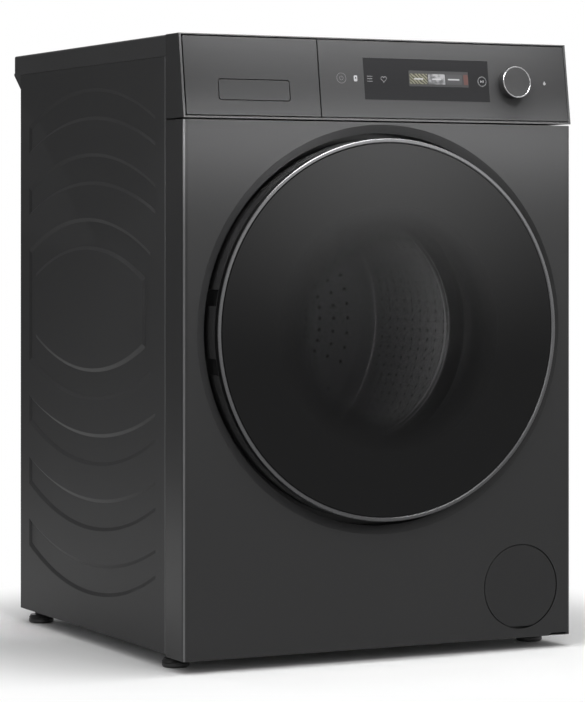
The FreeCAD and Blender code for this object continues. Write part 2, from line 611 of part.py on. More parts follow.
def makeFeet():
    names = ("foot_front_left", "foot_front_right", "foot_rear_left", "foot_rear_right")
    for name, (x, depth) in zip(names, footPlaces()):
        pad = place(turned([
            (0, 0), ("footRadius - 2", 0), ("footRadius", 2), ("footRadius", "footHeight * 0.5"),
            ("footRadius - 1.2", "footHeight * 0.55"), ("footRadius - 1.2", "footHeight * 0.6"),
            ("footRadius", "footHeight * 0.65"), ("footRadius - 2.5", "footHeight"), (0, "footHeight")],
            "XZ_Plane"), x, f"frontY + {depth}", 0)
        stud = rod(x, f"frontY + {depth}", "footHeight / 2", "studRadius", "studLength", "Z")
        prism = document.addObject("Part::Prism", "Hexagon")
        prism.Polygon = 6
        bind(prism, Circumradius="locknutFlats / sqrt(3)", Height="locknutHeight")
        place(prism, x, f"frontY + {depth}", "footHeight + stillGap")
        bore = rod(x, f"frontY + {depth}", "footHeight", "studRadius + pinGap", "locknutHeight + 2", "Z")
        node(name, group(fuse(pad, stud), cut(prism, bore)))


# ---- door ----

def makeDoor():
    wall, proud = "doorWall", "-doorProud"
    bezelRear = "-doorProud + bezelDepth"
    glassRear = "-doorProud + doorGlassSet + doorGlassThickness"
    seat = f"{glassRear} + stillGap"
    node("door_bezel", centred(turned([
        ("doorRadius - bezelWidth", "-doorProud + 1.2"), ("doorRadius - bezelWidth + 1.2", proud),
        ("doorRadius - 1", proud), ("doorRadius", "-doorProud + 1"), ("doorRadius", bezelRear),
        ("doorRadius - bezelWidth", bezelRear)])))
    edge = "doorRadius - bezelWidth - stillGap"
    node("door_outer_glass", centred(turned([
        (0, "-doorProud + doorGlassSet"), (f"{edge} - 0.8", "-doorProud + doorGlassSet"),
        (edge, "-doorProud + doorGlassSet + 0.8"), (edge, glassRear), (0, glassRear)])))

    frame = centred(turned([
        ("frameInner", seat), (edge, seat), (edge, f"{bezelRear} + stillGap"),
        ("doorRadius", f"{bezelRear} + stillGap"), ("doorRadius", "frameSplit"),
        (f"doorRadius - {wall}", "frameSplit"),
        (f"doorRadius - {wall}", f"{bezelRear} + stillGap + {wall}"),
        (f"{edge} - {wall}", f"{bezelRear} + stillGap + {wall}"), (f"{edge} - {wall}", f"{seat} + {wall}"),
        (f"frameInner + {wall}", f"{seat} + {wall}"), (f"frameInner + {wall}", "bowlRim - stillGap"),
        ("frameInner", "bowlRim - stillGap")]))
    block = box("-pinX - eyeRadius - 2", f"frontY + {bezelRear} + stillGap",
                "doorHeight - armSpacing / 2 - armHeight / 2 - slotGap - pinOverhang",
                "2 * eyeRadius + 4", "pinForward + 4",
                "armSpacing + armHeight + 2 * slotGap + 2 * pinOverhang")
    pinHole = rod("-pinX", "pinY", "doorHeight - armSpacing", "hingePinRadius + pinGap / 5",
                  "2 * armSpacing", "Z")
    node("door_outer_frame", cut(fuse(frame, block), *hingePockets(), pinHole))

    rear = "doorRearDepth"
    cover = centred(turned([
        ("doorRadius", "frameSplit + stillGap"), ("doorRadius", f"{rear} - 2.5"),
        ("doorRadius - 2.5", rear),
        ("bowlNeck + stillGap", rear), ("bowlNeck + stillGap", "bowlRim + bowlThickness + stillGap"),
        (f"bowlNeck + stillGap + {wall}", "bowlRim + bowlThickness + stillGap"),
        (f"bowlNeck + stillGap + {wall}", f"{rear} - {wall}"), (f"doorRadius - {wall}", f"{rear} - {wall}"),
        (f"doorRadius - {wall}", "frameSplit + stillGap")]))
    hookWindow = box("hookX - hookWidth / 2 - stillGap", f"frontY + {rear} - 2 * {wall}",
                     "doorHeight - hookHeight / 2 - stillGap", "hookWidth + 2 * stillGap", f"3 * {wall}",
                     "hookHeight + 2 * stillGap")
    node("door_inner_frame", cut(cover, *hingePockets(), hookWindow))

    glass = "bowlThickness"
    node("door_bowl", centred(turned([
        ("bowlFlange", "bowlRim"), ("bowlFlange", f"bowlRim + {glass}"), ("bowlNeck", f"bowlRim + {glass}"),
        ("bowlNeck - 1", "bowlRim + 19"), ("bowlSealRadius", "bowlRim + 41"),
        ("bowlEndRadius", "bowlDepth - 19"), ("bowlEndRadius - 5", "bowlDepth - 10"),
        ("bowlNose", "bowlDepth - 3"), ("bowlNose / 2", "bowlDepth"), (0, "bowlDepth + 1"),
        (0, f"bowlDepth + 1 - {glass}"), ("bowlNose / 2", f"bowlDepth - {glass}"),
        ("bowlNose - 2", f"bowlDepth - 3 - {glass}"), (f"bowlEndRadius - {glass} - 4", "bowlDepth - 13"),
        (f"bowlEndRadius - {glass}", "bowlDepth - 21"), (f"bowlSealRadius - {glass}", "bowlRim + 40"),
        (f"bowlNeck - 1 - {glass}", "bowlRim + 17"), (f"bowlNeck - {glass}", "bowlRim")])))

    node("door_hinge_pin", rod("-pinX", "pinY",
                               "doorHeight - armSpacing / 2 - armHeight / 2 - slotGap - pinOverhang + stillGap",
                               "hingePinRadius",
                               "armSpacing + armHeight + 2 * slotGap + 2 * pinOverhang - 2 * stillGap",
                               "Z"))

    foot = f"frontY + bowlRim + {glass} + 2"
    stem = box("hookX - hookWidth / 2", foot, "doorHeight - hookHeight / 2", "hookWidth",
               f"frontY + hookReach - ({foot})", "hookHeight")
    notch = box("hookX", "frontY + notchDepth", "doorHeight - hookHeight / 2 - 1", "hookWidth",
                "notchLength", "hookHeight + 2")
    plate = box("hookX - 2 * hookWidth", foot, "doorHeight - 2 * hookHeight", "4 * hookWidth",
                f"frontY + {rear} - {wall} - stillGap - ({foot})", "4 * hookHeight")
    node("latch_hook", fuse(cut(stem, notch), plate))


def hingePockets():
    """The two slots of the door in which it swings round the hinge arms."""
    pockets = []
    for side in ("+", "-"):
        low = f"doorHeight {side} armSpacing / 2 - armHeight / 2 - slotGap"
        height = "armHeight + 2 * slotGap"
        reach = "armLength + 12"
        sweep = rod("-pinX", "pinY", low, reach, height, "Z")
        front = box(f"-pinX - ({reach}) - 1", f"pinY - ({reach}) - 1", f"{low} - 1", f"2 * ({reach}) + 2",
                    f"{reach} + 1 - armThickness / 2 - 0.6", f"{height} + 2")
        pockets += [cut(sweep, front), rod("-pinX", "pinY", low, "eyeRadius + 0.6", height, "Z")]
    return pockets


def makeHinge():
    """The bracket behind the recess and its two cranked arms."""
    plateFront = "frontY + recessDepth + sheetGauge + stillGap"
    plate = box("-pinX + armReach - armThickness / 2 - hingePlateWidth / 3", plateFront,
                "doorHeight - hingePlateHeight / 2", "hingePlateWidth", "hingePlateThickness",
                "hingePlateHeight")
    arms = []
    for side in ("+", "-"):
        low = f"doorHeight {side} armSpacing / 2 - armHeight / 2"
        eye = rod("-pinX", "pinY", low, "eyeRadius", "armHeight", "Z")
        slant = box(0, 0, 0, "armLength", "armThickness", "armHeight")
        place(slant, "-pinX + armThickness / 2 * sin(armAngle)", "pinY - armThickness / 2 * cos(armAngle)",
              low,
              (0, 0, 1), "armAngle")
        elbow = rod("-pinX + armReach", "pinY + armSet", low, "armThickness / 2", "armHeight", "Z")
        straight = box("-pinX + armReach - armThickness / 2", "pinY + armSet", low, "armThickness",
                       f"{plateFront} + hingePlateThickness - pinY - armSet", "armHeight")
        bore = rod("-pinX", "pinY", f"{low} - 1", "hingePinRadius + pinGap", "armHeight + 2", "Z")
        arms.append(cut(fuse(eye, slant, elbow, straight), bore))
    node("door_hinge", fuse(plate, *arms))


def makeDoorLock():
    front = "frontY + recessDepth + sheetGauge + stillGap"
    low = "doorHeight - lockHeight / 2"
    case = box("hookX - lockWidth / 2", front, low, "lockWidth", "lockDepth", "lockHeight")
    throat = box("hookX - lockSlot / 2", f"{front} - 1", "doorHeight - hookHeight / 2 - slotGap",
                 "lockSlot",
                 "hookReach - recessDepth + 2", "hookHeight + 2 * slotGap")
    channel = box("hookX - lockSlot / 2", "frontY + notchDepth + stillGap - pinGap",
                  "doorHeight - boltSide / 2 - pinGap", "lockWidth", "boltSide + 2 * pinGap",
                  "boltSide + 2 * pinGap")
    node("door_lock", cut(case, throat, channel))
    node("lock_bolt", box("hookX + lockSlot / 2", "frontY + notchDepth + stillGap",
                          "doorHeight - boltSide / 2",
                          "lockWidth / 2 - lockSlot / 2", "boltSide", "boltSide"))


# ---- control fascia and detergent drawer ----
# These are drawn upright and then leaned back about the fascia's lower front edge.

def leaned(thing, across=0, up=0):
    return place(thing, across, f"frontY + {up} * sin(leanAngle)", f"fasciaBottom + {up} * cos(leanAngle)",
                 (-1, 0, 0), "leanAngle")


def makeFascia():
    rear = "frontY + frontReturn"
    low = "panelTop + trimSeam"
    shell = padded([("frontY", low), ("frontY", "fasciaBottom"), ("frontY + leanBack", "cabinetHeight"),
                    (rear, "cabinetHeight"), (rear, low)], "cabinetWidth")
    ahead = "frontY - leanBack"
    floor = "fasciaBottom - fasciaStep"
    hollow = padded([(ahead, "fasciaBottom + stillGap"), (ahead, "cabinetHeight - frameTop"),
                     (f"{rear} + 1", "cabinetHeight - frameTop"), (f"{rear} + 1", floor),
                     ("frontY + returnDepth", floor), ("frontY + 1", "fasciaBottom + stillGap")],
                    "cabinetWidth - 2 * trimWidth")
    left, right = "-halfWidth + trimWidth", "halfWidth - trimWidth"
    seam = "drawerSeam - halfWidth + fasciaGap / 2"
    top = "fasciaSlant - frameTop - stillGap"
    ledge = cut(box(seam, "fasciaSkin + stillGap", 1, f"{right} - ({seam})", "ledgeThickness",
                    f"{top} - 1"),
                box(f"{seam} + ledgeWidth", "fasciaSkin", "1 + ledgeWidth",
                    f"{right} - ({seam}) - 2 * ledgeWidth", "3 * ledgeThickness",
                    f"{top} - 1 - 2 * ledgeWidth"))
    rails = [box(seam, "fasciaSkin + stillGap + ledgeThickness / 2", f"{up} - 1", f"{right} - ({seam})",
                 "boardDepth - fasciaSkin - ledgeThickness / 2 - 2 * stillGap", "2")
             for up in ("boardLow", "boardLow + boardHeight")]
    divider = box(seam, "fasciaSkin + stillGap", 1, "2", "bayDepth + fasciaSkin", f"{top} - 1")
    bay = box(left, "bayDepth", 1, f"{seam} - ({left}) + 1", "ledgeThickness", f"{top} - 1")
    inside = leaned(fuse(ledge, *rails, divider, bay))
    window = box("-halfWidth + trayLeft - housingGap", "frontY", "trayLow - housingGap",
                 "trayWidth + 2 * housingGap", "frontReturn", "trayHeight + 2 * housingGap")
    node("fascia_frame", fuse(cut(shell, hollow), cut(inside, window)))

    skinHeight = "fasciaSlant - frameTop - 2 * fasciaGap"
    skin = box(seam, 0, "fasciaGap", f"{right} - fasciaGap / 2 - ({seam})", "fasciaSkin", skinHeight)
    glassHole = box("displayLeft - halfWidth - pinGap", -1, "displayLow - pinGap",
                    "displayWidth + 2 * pinGap",
                    "displayThickness + pinGap + 1", "displayHeight + 2 * pinGap")
    screenHole = box("screenLeft - halfWidth", -1, "screenLow", "screenWidth", "2 * fasciaSkin",
                     "screenHeight")
    dialHole = rod("dialCentreX", -1, "dialHeight", "dialShaftRadius + 1", "2 * fasciaSkin")
    node("control_fascia", leaned(cut(skin, glassHole, screenHole, dialHole)))
    node("display_glass", leaned(group(box("displayLeft - halfWidth", 0, "displayLow", "displayWidth",
                                           "displayThickness", "displayHeight"))))
    node("display_module", leaned(group(box("screenLeft - halfWidth + stillGap",
                                            "displayThickness + stillGap",
                                            "screenLow + stillGap", "screenWidth - 2 * stillGap",
                                            "screenDepth",
                                            "screenHeight - 2 * stillGap"))))
    board = box("halfWidth - trimWidth - stillGap - boardWidth", "boardDepth", "boardLow", "boardWidth",
                "boardThickness", "boardHeight")
    encoder = box("dialCentreX - encoderSide / 2", "encoderFront", "dialHeight - encoderSide / 2",
                  "encoderSide",
                  "boardDepth - encoderFront", "encoderSide")
    bore = rod("dialCentreX", "encoderFront - 1", "dialHeight", "dialShaftRadius + pinGap",
               "boardDepth - encoderFront + 1")
    node("control_board", leaned(cut(fuse(board, encoder), bore)))


def makeDial():
    face, rim = "-dialLength + 0.4", "-dialLength + dialRingDepth"
    inner = "dialRadius - dialRingWidth"
    knob = turned([("dialShaftRadius + pinGap", "-dialGap"), ("dialRadius - 1.1", "-dialGap"),
                   ("dialRadius - 0.4", f"{rim} + 0.2"), (f"{inner} - 0.2", f"{rim} + 0.2"),
                   (f"{inner} - 0.2", face), (0, face), (0, f"{face} + 3.5"),
                   ("dialShaftRadius + pinGap", f"{face} + 3.5")])
    node("dial_knob", leaned(knob, "dialCentreX", "dialHeight"))
    ring = turned([(inner, rim), ("dialRadius", rim), ("dialRadius", "-dialLength + 0.4"),
                   ("dialRadius - 0.4", "-dialLength"), (f"{inner} + 0.4", "-dialLength"),
                   (inner, "-dialLength + 0.4")])
    node("dial_ring", leaned(ring, "dialCentreX", "dialHeight"))
    shaft = rod("dialCentreX", f"{face} + 3.8", "dialHeight", "dialShaftRadius", "dialShaftLength")
    node("dial_shaft", leaned(group(shaft)))


def makeDrawer():
    left = "-halfWidth + trimWidth + fasciaGap"
    width = "drawerSeam - trimWidth - 1.5 * fasciaGap"
    height = "fasciaSlant - frameTop - 2 * fasciaGap"
    slab = box(left, 0, "fasciaGap", width, "returnDepth", height)
    hollow = box(f"{left} + drawerFrontThickness", "drawerFrontThickness",
                 "fasciaGap + drawerFrontThickness",
                 f"{width} - 2 * drawerFrontThickness", "returnDepth",
                 f"{height} - 2 * drawerFrontThickness")
    flapX = "flapLeft - halfWidth"
    pocket = box(f"{flapX} - pocketWall", 0.5, "flapLow - pocketWall", "flapWidth + 2 * pocketWall",
                 "pocketDepth + pocketWall - 0.5", "flapHeight + 2 * pocketWall")
    mouth = rounded(box(flapX, -1, "flapLow", "flapWidth", "pocketDepth + 1", "flapHeight"), "flapRadius",
                    (0, 1, 0))
    pinHole = rod(f"{flapX} - pocketWall", "flapPinSet", "flapLow + flapHeight - flapGap - flapPinDrop",
                  "flapPinRadius + pinGap", "flapWidth + 2 * pocketWall", "X")
    node("drawer_front", leaned(cut(fuse(cut(slab, hollow), pocket), mouth, pinHole)))

    pinUp = "flapLow + flapHeight - flapGap - flapPinDrop"
    plate = rounded(box(f"{flapX} + flapGap", 0, "flapLow + flapGap", "flapWidth - 2 * flapGap",
                        "flapThickness",
                        "flapHeight - 2 * flapGap"), "flapInnerRadius", (0, 1, 0))
    pin = rod(f"{flapX} - pocketWall + 4 * pinGap", "flapPinSet", pinUp, "flapPinRadius",
              "flapWidth + 2 * pocketWall - 8 * pinGap", "X")
    node("drawer_flap", leaned(fuse(plate, pin)))

    x, y, z = "-halfWidth + trayLeft", "frontY + trayFront", "trayLow"
    shell = box(x, y, z, "trayWidth", "trayRear - trayFront", "trayHeight")
    main = "trayWidth - siphonWidth - 3 * trayWall"
    bays = [box(f"{x} + trayWall", f"{y} + trayWall", f"{z} + trayWall", "siphonWidth",
                "trayRear - trayFront - 2 * trayWall", "trayHeight"),
            box(f"{x} + siphonWidth + 2 * trayWall", f"{y} + trayWall", f"{z} + trayWall", main,
                "(trayRear - trayFront) * 0.62", "trayHeight"),
            box(f"{x} + siphonWidth + 2 * trayWall", f"{y} + 2 * trayWall + (trayRear - trayFront) * 0.62",
                f"{z} + trayWall", main, "(trayRear - trayFront) * 0.38 - 3 * trayWall", "trayHeight")]
    ears = [box(f"{x} + {shift}", "frontY + earFront", z, "trayWall", "trayFront - earFront + 1",
                "trayHeight")
            for shift in ("0", "trayWidth - trayWall")]
    node("drawer_tray", fuse(cut(shell, *bays), *ears))
    lid = box(f"{x} + trayWall + stillGap", f"{y} + (trayRear - trayFront) / 2", f"{z} + trayHeight - 8",
              "siphonWidth - 2 * stillGap", "(trayRear - trayFront) / 2 - trayWall - stillGap", "3")
    tube = rod(f"{x} + trayWall + siphonWidth / 2", f"{y} + (trayRear - trayFront) * 0.75",
               f"{z} + trayWall + stillGap", "7", "trayHeight - 8 - trayWall", "Z")
    bore = rod(f"{x} + trayWall + siphonWidth / 2", f"{y} + (trayRear - trayFront) * 0.75", z, "5",
               "trayHeight - 8 - trayWall", "Z")
    node("siphon_cap", cut(fuse(lid, tube), bore))

    wall, gap = "housingWall", "housingGap"
    front = "frontY + frontReturn + stillGap"
    deep = f"trayRear + 2 * {gap} - frontReturn"
    outer = box(f"{x} - {gap} - {wall}", front, "housingLow", f"trayWidth + 2 * {gap} + 2 * {wall}",
                f"{deep} + {wall}", "housingTop - housingLow")
    inner = box(f"{x} - {gap}", f"{front} - 1", f"trayLow - {gap}", f"trayWidth + 2 * {gap}", f"{deep} + 1",
                f"trayHeight + 2 * {gap}")
    outlet = rod("-fillHoseX", "frontY + fillHoseDepth", "housingLow - 12",
                 "fillHoseRadius - hoseWall - stillGap",
                 "13", "Z")
    drain = rod("-fillHoseX", "frontY + fillHoseDepth", "housingLow - 13",
                "fillHoseRadius - 2 * hoseWall", "20", "Z")
    inletSpigot = rod("-fillHoseX", f"{front} + {deep} + {wall} - 1", "valveHeight",
                      "valveHoseRadius - hoseWall / 2 - stillGap", "15")
    node("dispenser_housing", cut(fuse(cut(outer, inner), outlet, inletSpigot), drain))


# ---- filter cover and drain pump ----

def makeFilterCover():
    """A round cover that clips into a frame behind the front panel and pulls straight off."""
    at = ("coverCentreX", "frontY", "coverHeight")
    disc = place(turned([(0, 0), ("coverRadius - 0.4", 0), ("coverRadius", 0.4),
                         ("coverRadius", "coverThickness"),
                         (0, "coverThickness")]), *at)
    grip = box("coverCentreX - coverRadius / 2", "frontY - 1", "coverHeight - coverRadius - 1",
               "coverRadius",
               "coverThickness + 2", "coverGripHeight + 1")
    plateDepth = "clipLength - 4 * stillGap - coverFrameWall"
    clips, slots = [], []
    for side in ("-", "+"):
        for row in ("-", "+"):
            x = f"coverCentreX {side} clipSpread - clipWidth / 2"
            z = f"coverHeight {row} clipSpread - clipThickness / 2"
            clips.append(box(x, "frontY + coverThickness / 2", z, "clipWidth",
                             "clipLength - coverThickness / 2", "clipThickness"))
            slots.append(box(f"{x} - stillGap", f"frontY + {plateDepth} - 1", f"{z} - stillGap",
                             "clipWidth + 2 * stillGap", "coverFrameWall + 2",
                             "clipThickness + 2 * stillGap"))
    node("filter_cover", fuse(cut(disc, grip), *clips))
    hole = "filterRadius + filterWall + stillGap"
    frame = place(turned([
        ("coverRadius + 4", "sheetGauge + stillGap"), ("coverRadius + 8", "sheetGauge + stillGap"),
        ("coverRadius + 8", f"{plateDepth} + coverFrameWall"), (hole, f"{plateDepth} + coverFrameWall"),
        (hole, plateDepth), ("coverRadius + 4", plateDepth)]), *at)
    node("filter_frame", cut(frame, *slots))


def makePump():
    radius, wall = "filterRadius", "filterWall"
    at = ("coverCentreX", "frontY", "coverHeight")
    sleeve = place(turned([
        (radius, "filterFront - 8"), (f"{radius} + {wall}", "filterFront - 8"),
        (f"{radius} + {wall}", "pumpEnd"),
        ("voluteRadius", "pumpEnd"), ("voluteRadius", "pumpEnd + voluteDepth"),
        ("impellerShaft + pinGap", "pumpEnd + voluteDepth"),
        ("impellerShaft + pinGap", f"pumpEnd + voluteDepth - {wall}"),
        (f"voluteRadius - {wall}", f"pumpEnd + voluteDepth - {wall}"),
        (f"voluteRadius - {wall}", f"pumpEnd + {wall}"),
        (radius, f"pumpEnd + {wall}")]), *at)
    motor = rounded(box("coverCentreX - pumpMotorSide / 2", "frontY + pumpEnd + voluteDepth - 0.5",
                        "coverHeight - pumpMotorSide / 2", "pumpMotorSide", "pumpMotorLength + 0.5",
                        "pumpMotorSide"), "pumpCorner", (0, 1, 0))
    bore = rod("coverCentreX", "frontY + pumpEnd", "coverHeight", "impellerShaft + pinGap",
               "voluteDepth + pumpMotorLength / 2")
    inlet = rod("coverCentreX - filterRadius - pumpInletReach", "frontY + sumpDepth", "pumpInletHeight",
                "sumpHoseRadius - hoseWall - stillGap", "filterRadius + pumpInletReach", "X")
    inletBore = rod("coverCentreX - filterRadius - pumpInletReach - 1", "frontY + sumpDepth",
                    "pumpInletHeight",
                    "sumpHoseRadius - 2 * hoseWall", "filterRadius + pumpInletReach", "X")
    cavity = rod("coverCentreX", "frontY + filterFront", "coverHeight", radius, "pumpEnd - filterFront")
    arm = box("coverCentreX", "frontY + pumpEnd + 1", "drainHeight - drainArm / 2", "drainX - coverCentreX",
              "voluteDepth - 2", "drainArm")
    spigot = rod("drainX", "frontY + pumpEnd + 1", "drainHeight",
                 "drainHoseRadius - hoseWall - stillGap / 2",
                 "voluteDepth + 18")
    chamber = rod("coverCentreX", f"frontY + pumpEnd + {wall}", "coverHeight", f"voluteRadius - {wall}",
                  f"voluteDepth - 2 * {wall}")
    body = cut(fuse(cut(fuse(sleeve, inlet), inletBore, cavity), motor, cut(fuse(arm, spigot), chamber)),
               bore)
    node("drain_pump", body)

    front = "filterFront"
    knob = rod("coverCentreX", f"frontY + {front} - 6", "coverHeight", f"{radius} - stillGap", "16")
    knobHollow = [box(f"coverCentreX {side}", f"frontY + {front} - 7", "coverHeight - filterRadius * 0.7",
                      "filterRadius * 0.6", "11", "filterRadius * 1.4")
                  for side in ("+ filterRadius * 0.15", "- filterRadius * 0.75")]
    basket = cut(rod("coverCentreX", f"frontY + {front} + 9", "coverHeight", f"{radius} - 4",
                     "filterLength - 20"),
                 rod("coverCentreX", f"frontY + {front} + 12", "coverHeight", f"{radius} - 6",
                     "filterLength"),
                 box("coverCentreX - filterRadius", f"frontY + {front} + 20",
                     "coverHeight - filterRadius / 4",
                     "2 * filterRadius", "filterLength", "filterRadius / 2"))
    node("pump_filter", fuse(cut(knob, *knobHollow), basket))

    hub = rod("coverCentreX", "frontY + pumpEnd + filterWall + 2", "coverHeight", "6",
              "voluteDepth - 2 * filterWall - 4")
    shaft = rod("coverCentreX", "frontY + pumpEnd + filterWall + 2", "coverHeight", "impellerShaft",
                "voluteDepth + pumpMotorLength / 3")
    blades = [box("coverCentreX - impellerRadius", "frontY + pumpEnd + filterWall + 2", "coverHeight - 1",
                  "2 * impellerRadius", "voluteDepth - 2 * filterWall - 5", "2"),
              box("coverCentreX - 1", "frontY + pumpEnd + filterWall + 2", "coverHeight - impellerRadius",
                  "2",
                  "voluteDepth - 2 * filterWall - 5", "2 * impellerRadius")]
    node("pump_impeller", fuse(hub, shaft, *blades))


# ---- tub ----

def makeTub():
    wall = "tubWall"
    flange = "tubOuter + tubFlange"
    mouth = centred(turned([
        ("tubNeck", "tubFront - neckLength"), (f"tubNeck + {wall}", "tubFront - neckLength"),
        (f"tubNeck + {wall}", "tubFront"), ("tubOuter - 6", "tubFront"), ("tubOuter", "tubFront + 6"),
        ("tubOuter", "tubSplit - tubFlange"), (flange, "tubSplit - tubFlange"),
        (flange, "tubSplit - stillGap / 2"), ("tubRadius", "tubSplit - stillGap / 2"),
        ("tubRadius", f"tubFront + {wall} + 3"), ("tubRadius - 3", f"tubFront + {wall}"),
        ("tubNeck", f"tubFront + {wall}")]))
    sumpRadius = "sumpHoseRadius - hoseWall - stillGap"
    sump = rod("sumpX", "frontY + sumpDepth", "sumpSpigotLow", sumpRadius, "sumpSpigotTop - sumpSpigotLow",
               "Z")
    sumpBore = rod("sumpX", "frontY + sumpDepth", "sumpSpigotLow - 1", f"{sumpRadius} - hoseWall",
                   "sumpSpigotTop - sumpSpigotLow + 30", "Z")
    fillStart = "doorHeight + tubRadius / 2"
    fill = rod("-fillHoseX", "frontY + fillHoseDepth", fillStart, "fillHoseRadius - hoseWall - stillGap",
               f"fillSpigotTop - ({fillStart})", "Z")
    fillBore = rod("-fillHoseX", "frontY + fillHoseDepth", f"{fillStart} - 1",
                   "fillHoseRadius - 2 * hoseWall",
                   f"fillSpigotTop - ({fillStart}) + 2", "Z")
    inside = rod(0, f"frontY + tubFront + {wall} + 3", "doorHeight", "tubRadius", "tubSplit - tubFront")
    stubs = cut(fuse(sump, fill), inside)
    frontLugs = [damperLug(side, "damperFront") for side in ("", "-")]
    node("tub_front", fuse(cut(mouth, sumpBore, fillBore), cut(stubs, sumpBore, fillBore), *frontLugs))

    back = "tubRear - tubBackWall"
    shell = centred(turned([
        ("tubRadius", "tubSplit + stillGap / 2"), (flange, "tubSplit + stillGap / 2"),
        (flange, "tubSplit + tubFlange"), ("tubOuter", "tubSplit + tubFlange"), ("tubOuter", "tubRear - 6"),
        ("tubOuter - 6", "tubRear"), ("hubRadius", "tubRear"), ("hubRadius", "hubRear"),
        ("rearBearingOuter", "hubRear"), ("rearBearingOuter", "hubRear - rearBearingWidth"),
        ("rearBearingOuter - 4", "hubRear - rearBearingWidth"),
        ("rearBearingOuter - 4", "hubFront + sealWidth + frontBearingWidth"),
        ("frontBearingOuter", "hubFront + sealWidth + frontBearingWidth"),
        ("frontBearingOuter", "hubFront"),
        ("hubRadius", "hubFront"), ("hubRadius", back), ("tubRadius", back)]))
    lugs = [damperLug(side, "damperRear") for side in ("", "-")]
    for side in ("", "-"):
        hole = "springLow - 2 * hookRadius"
        start = "tubOuter * 0.7"
        reach = f"springX + lugEnd - {start}"
        low = f"{hole} - lugHeight / 2"
        beam = box(start if side == "" else f"-({start}) - ({reach})",
                   "frontY + springDepth - lugThickness / 2",
                   low, reach, "lugThickness", "lugHeight")
        web = box(start if side == "" else f"-({start}) - lugWidth", "frontY + springDepth - lugWidth / 2",
                  f"{low} - lugWidth", "lugWidth", "lugWidth", "lugWidth + lugHeight")
        lugs.append(cut(fuse(beam, web),
                        rod(f"{side}springX", "frontY + springDepth - lugThickness", hole,
                            "springWire / 2 + 2 * stillGap", "2 * lugThickness"),
                        rod(0, "frontY + tubSplit", "doorHeight", "tubRadius + 1",
                            "tubRear - tubSplit - 20")))
    posts = [rod(f"statorPost * {round(math.cos(turn), 4)}", "frontY + tubRear - 1",
                 f"doorHeight + statorPost * {round(math.sin(turn), 4)}", "4",
                 "statorFront - tubRear + 1 - stillGap / 3")
             for turn in (math.tau * n / 6 for n in range(6))]
    heaterSlot = box("-heaterPlate / 2 + 4", "frontY + tubRear - 2 * tubBackWall",
                     "doorHeight - heaterRing - heaterSlotHeight / 2", "heaterPlate - 8", "3 * tubBackWall",
                     "heaterSlotHeight")
    node("tub_rear", cut(fuse(shell, *lugs, *posts), heaterSlot))
    seal = centred(turned([
        ("frontBearingBore + pinGap", "hubFront + 1"), ("frontBearingOuter - stillGap / 6", "hubFront + 1"),
        ("frontBearingOuter - stillGap / 6", "hubFront + sealWidth - stillGap / 2"),
        ("frontBearingBore + 4", "hubFront + sealWidth - stillGap / 2"),
        ("frontBearingBore + 4", "hubFront + 3"),
        ("frontBearingBore + pinGap", "hubFront + 3")]))
    node("drum_bearings", group(
        bearing("hubFront + sealWidth", "frontBearingOuter", "frontBearingBore", "frontBearingWidth"),
        bearing("hubRear - rearBearingWidth", "rearBearingOuter", "rearBearingBore", "rearBearingWidth"),
        seal))


def damperLug(side, row):
    """The block under the tub that a damper's rod is fixed to."""
    lug = box(f"{side}damperX - lugWidth / 2", f"frontY + {row} - lugWidth / 2", "rodTop + stillGap",
              "lugWidth", "lugWidth", "doorHeight - tubOuter * 0.75 - rodTop")
    return cut(lug, rod(0, f"frontY + {row} - lugWidth", "doorHeight", "tubRadius + 1", "2 * lugWidth"))


def bearing(depth, outer, bore, width):
    """A sealed ball bearing, drawn as one ring with a groove at each side."""
    outer = f"{outer} - stillGap / 6"
    inner = f"{bore} + pinGap"
    return centred(turned([
        (inner, depth), (f"{bore} + 3", depth), (f"{bore} + 3", f"{depth} + 1"),
        (f"{outer} - 3", f"{depth} + 1"),
        (f"{outer} - 3", depth), (outer, depth), (outer, f"{depth} + {width}"),
        (f"{outer} - 3", f"{depth} + {width}"), (f"{outer} - 3", f"{depth} + {width} - 1"),
        (f"{bore} + 3", f"{depth} + {width} - 1"), (f"{bore} + 3", f"{depth} + {width}"),
        (inner, f"{depth} + {width}")]))


def makeCounterweights():
    block = rounded(box("-weightWidth / 2", "frontY + weightFront", "doorHeight + tubOuter * 0.8",
                        "weightWidth",
                        "weightRear - weightFront", "weightTop - doorHeight - tubOuter * 0.8"),
                    "weightCorner", (0, 0, 1))
    block = cut(block, rod(0, "frontY + weightFront - 1", "doorHeight", "tubOuter + stillGap",
                           "weightRear - weightFront + 2"))
    ring = centred(turned([("frontWeightInner", "frontWeightFace"), ("frontWeightOuter", "frontWeightFace"),
                           ("frontWeightOuter", "tubFront - stillGap"),
                           ("frontWeightInner", "tubFront - stillGap")]))
    upper = box("-tubOuter", "frontY + frontWeightFace - 1", "frontWeightTop", "2 * tubOuter",
                "tubFront - frontWeightFace + 2", "2 * tubOuter")
    node("counterweights", group(block, cut(ring, upper)))


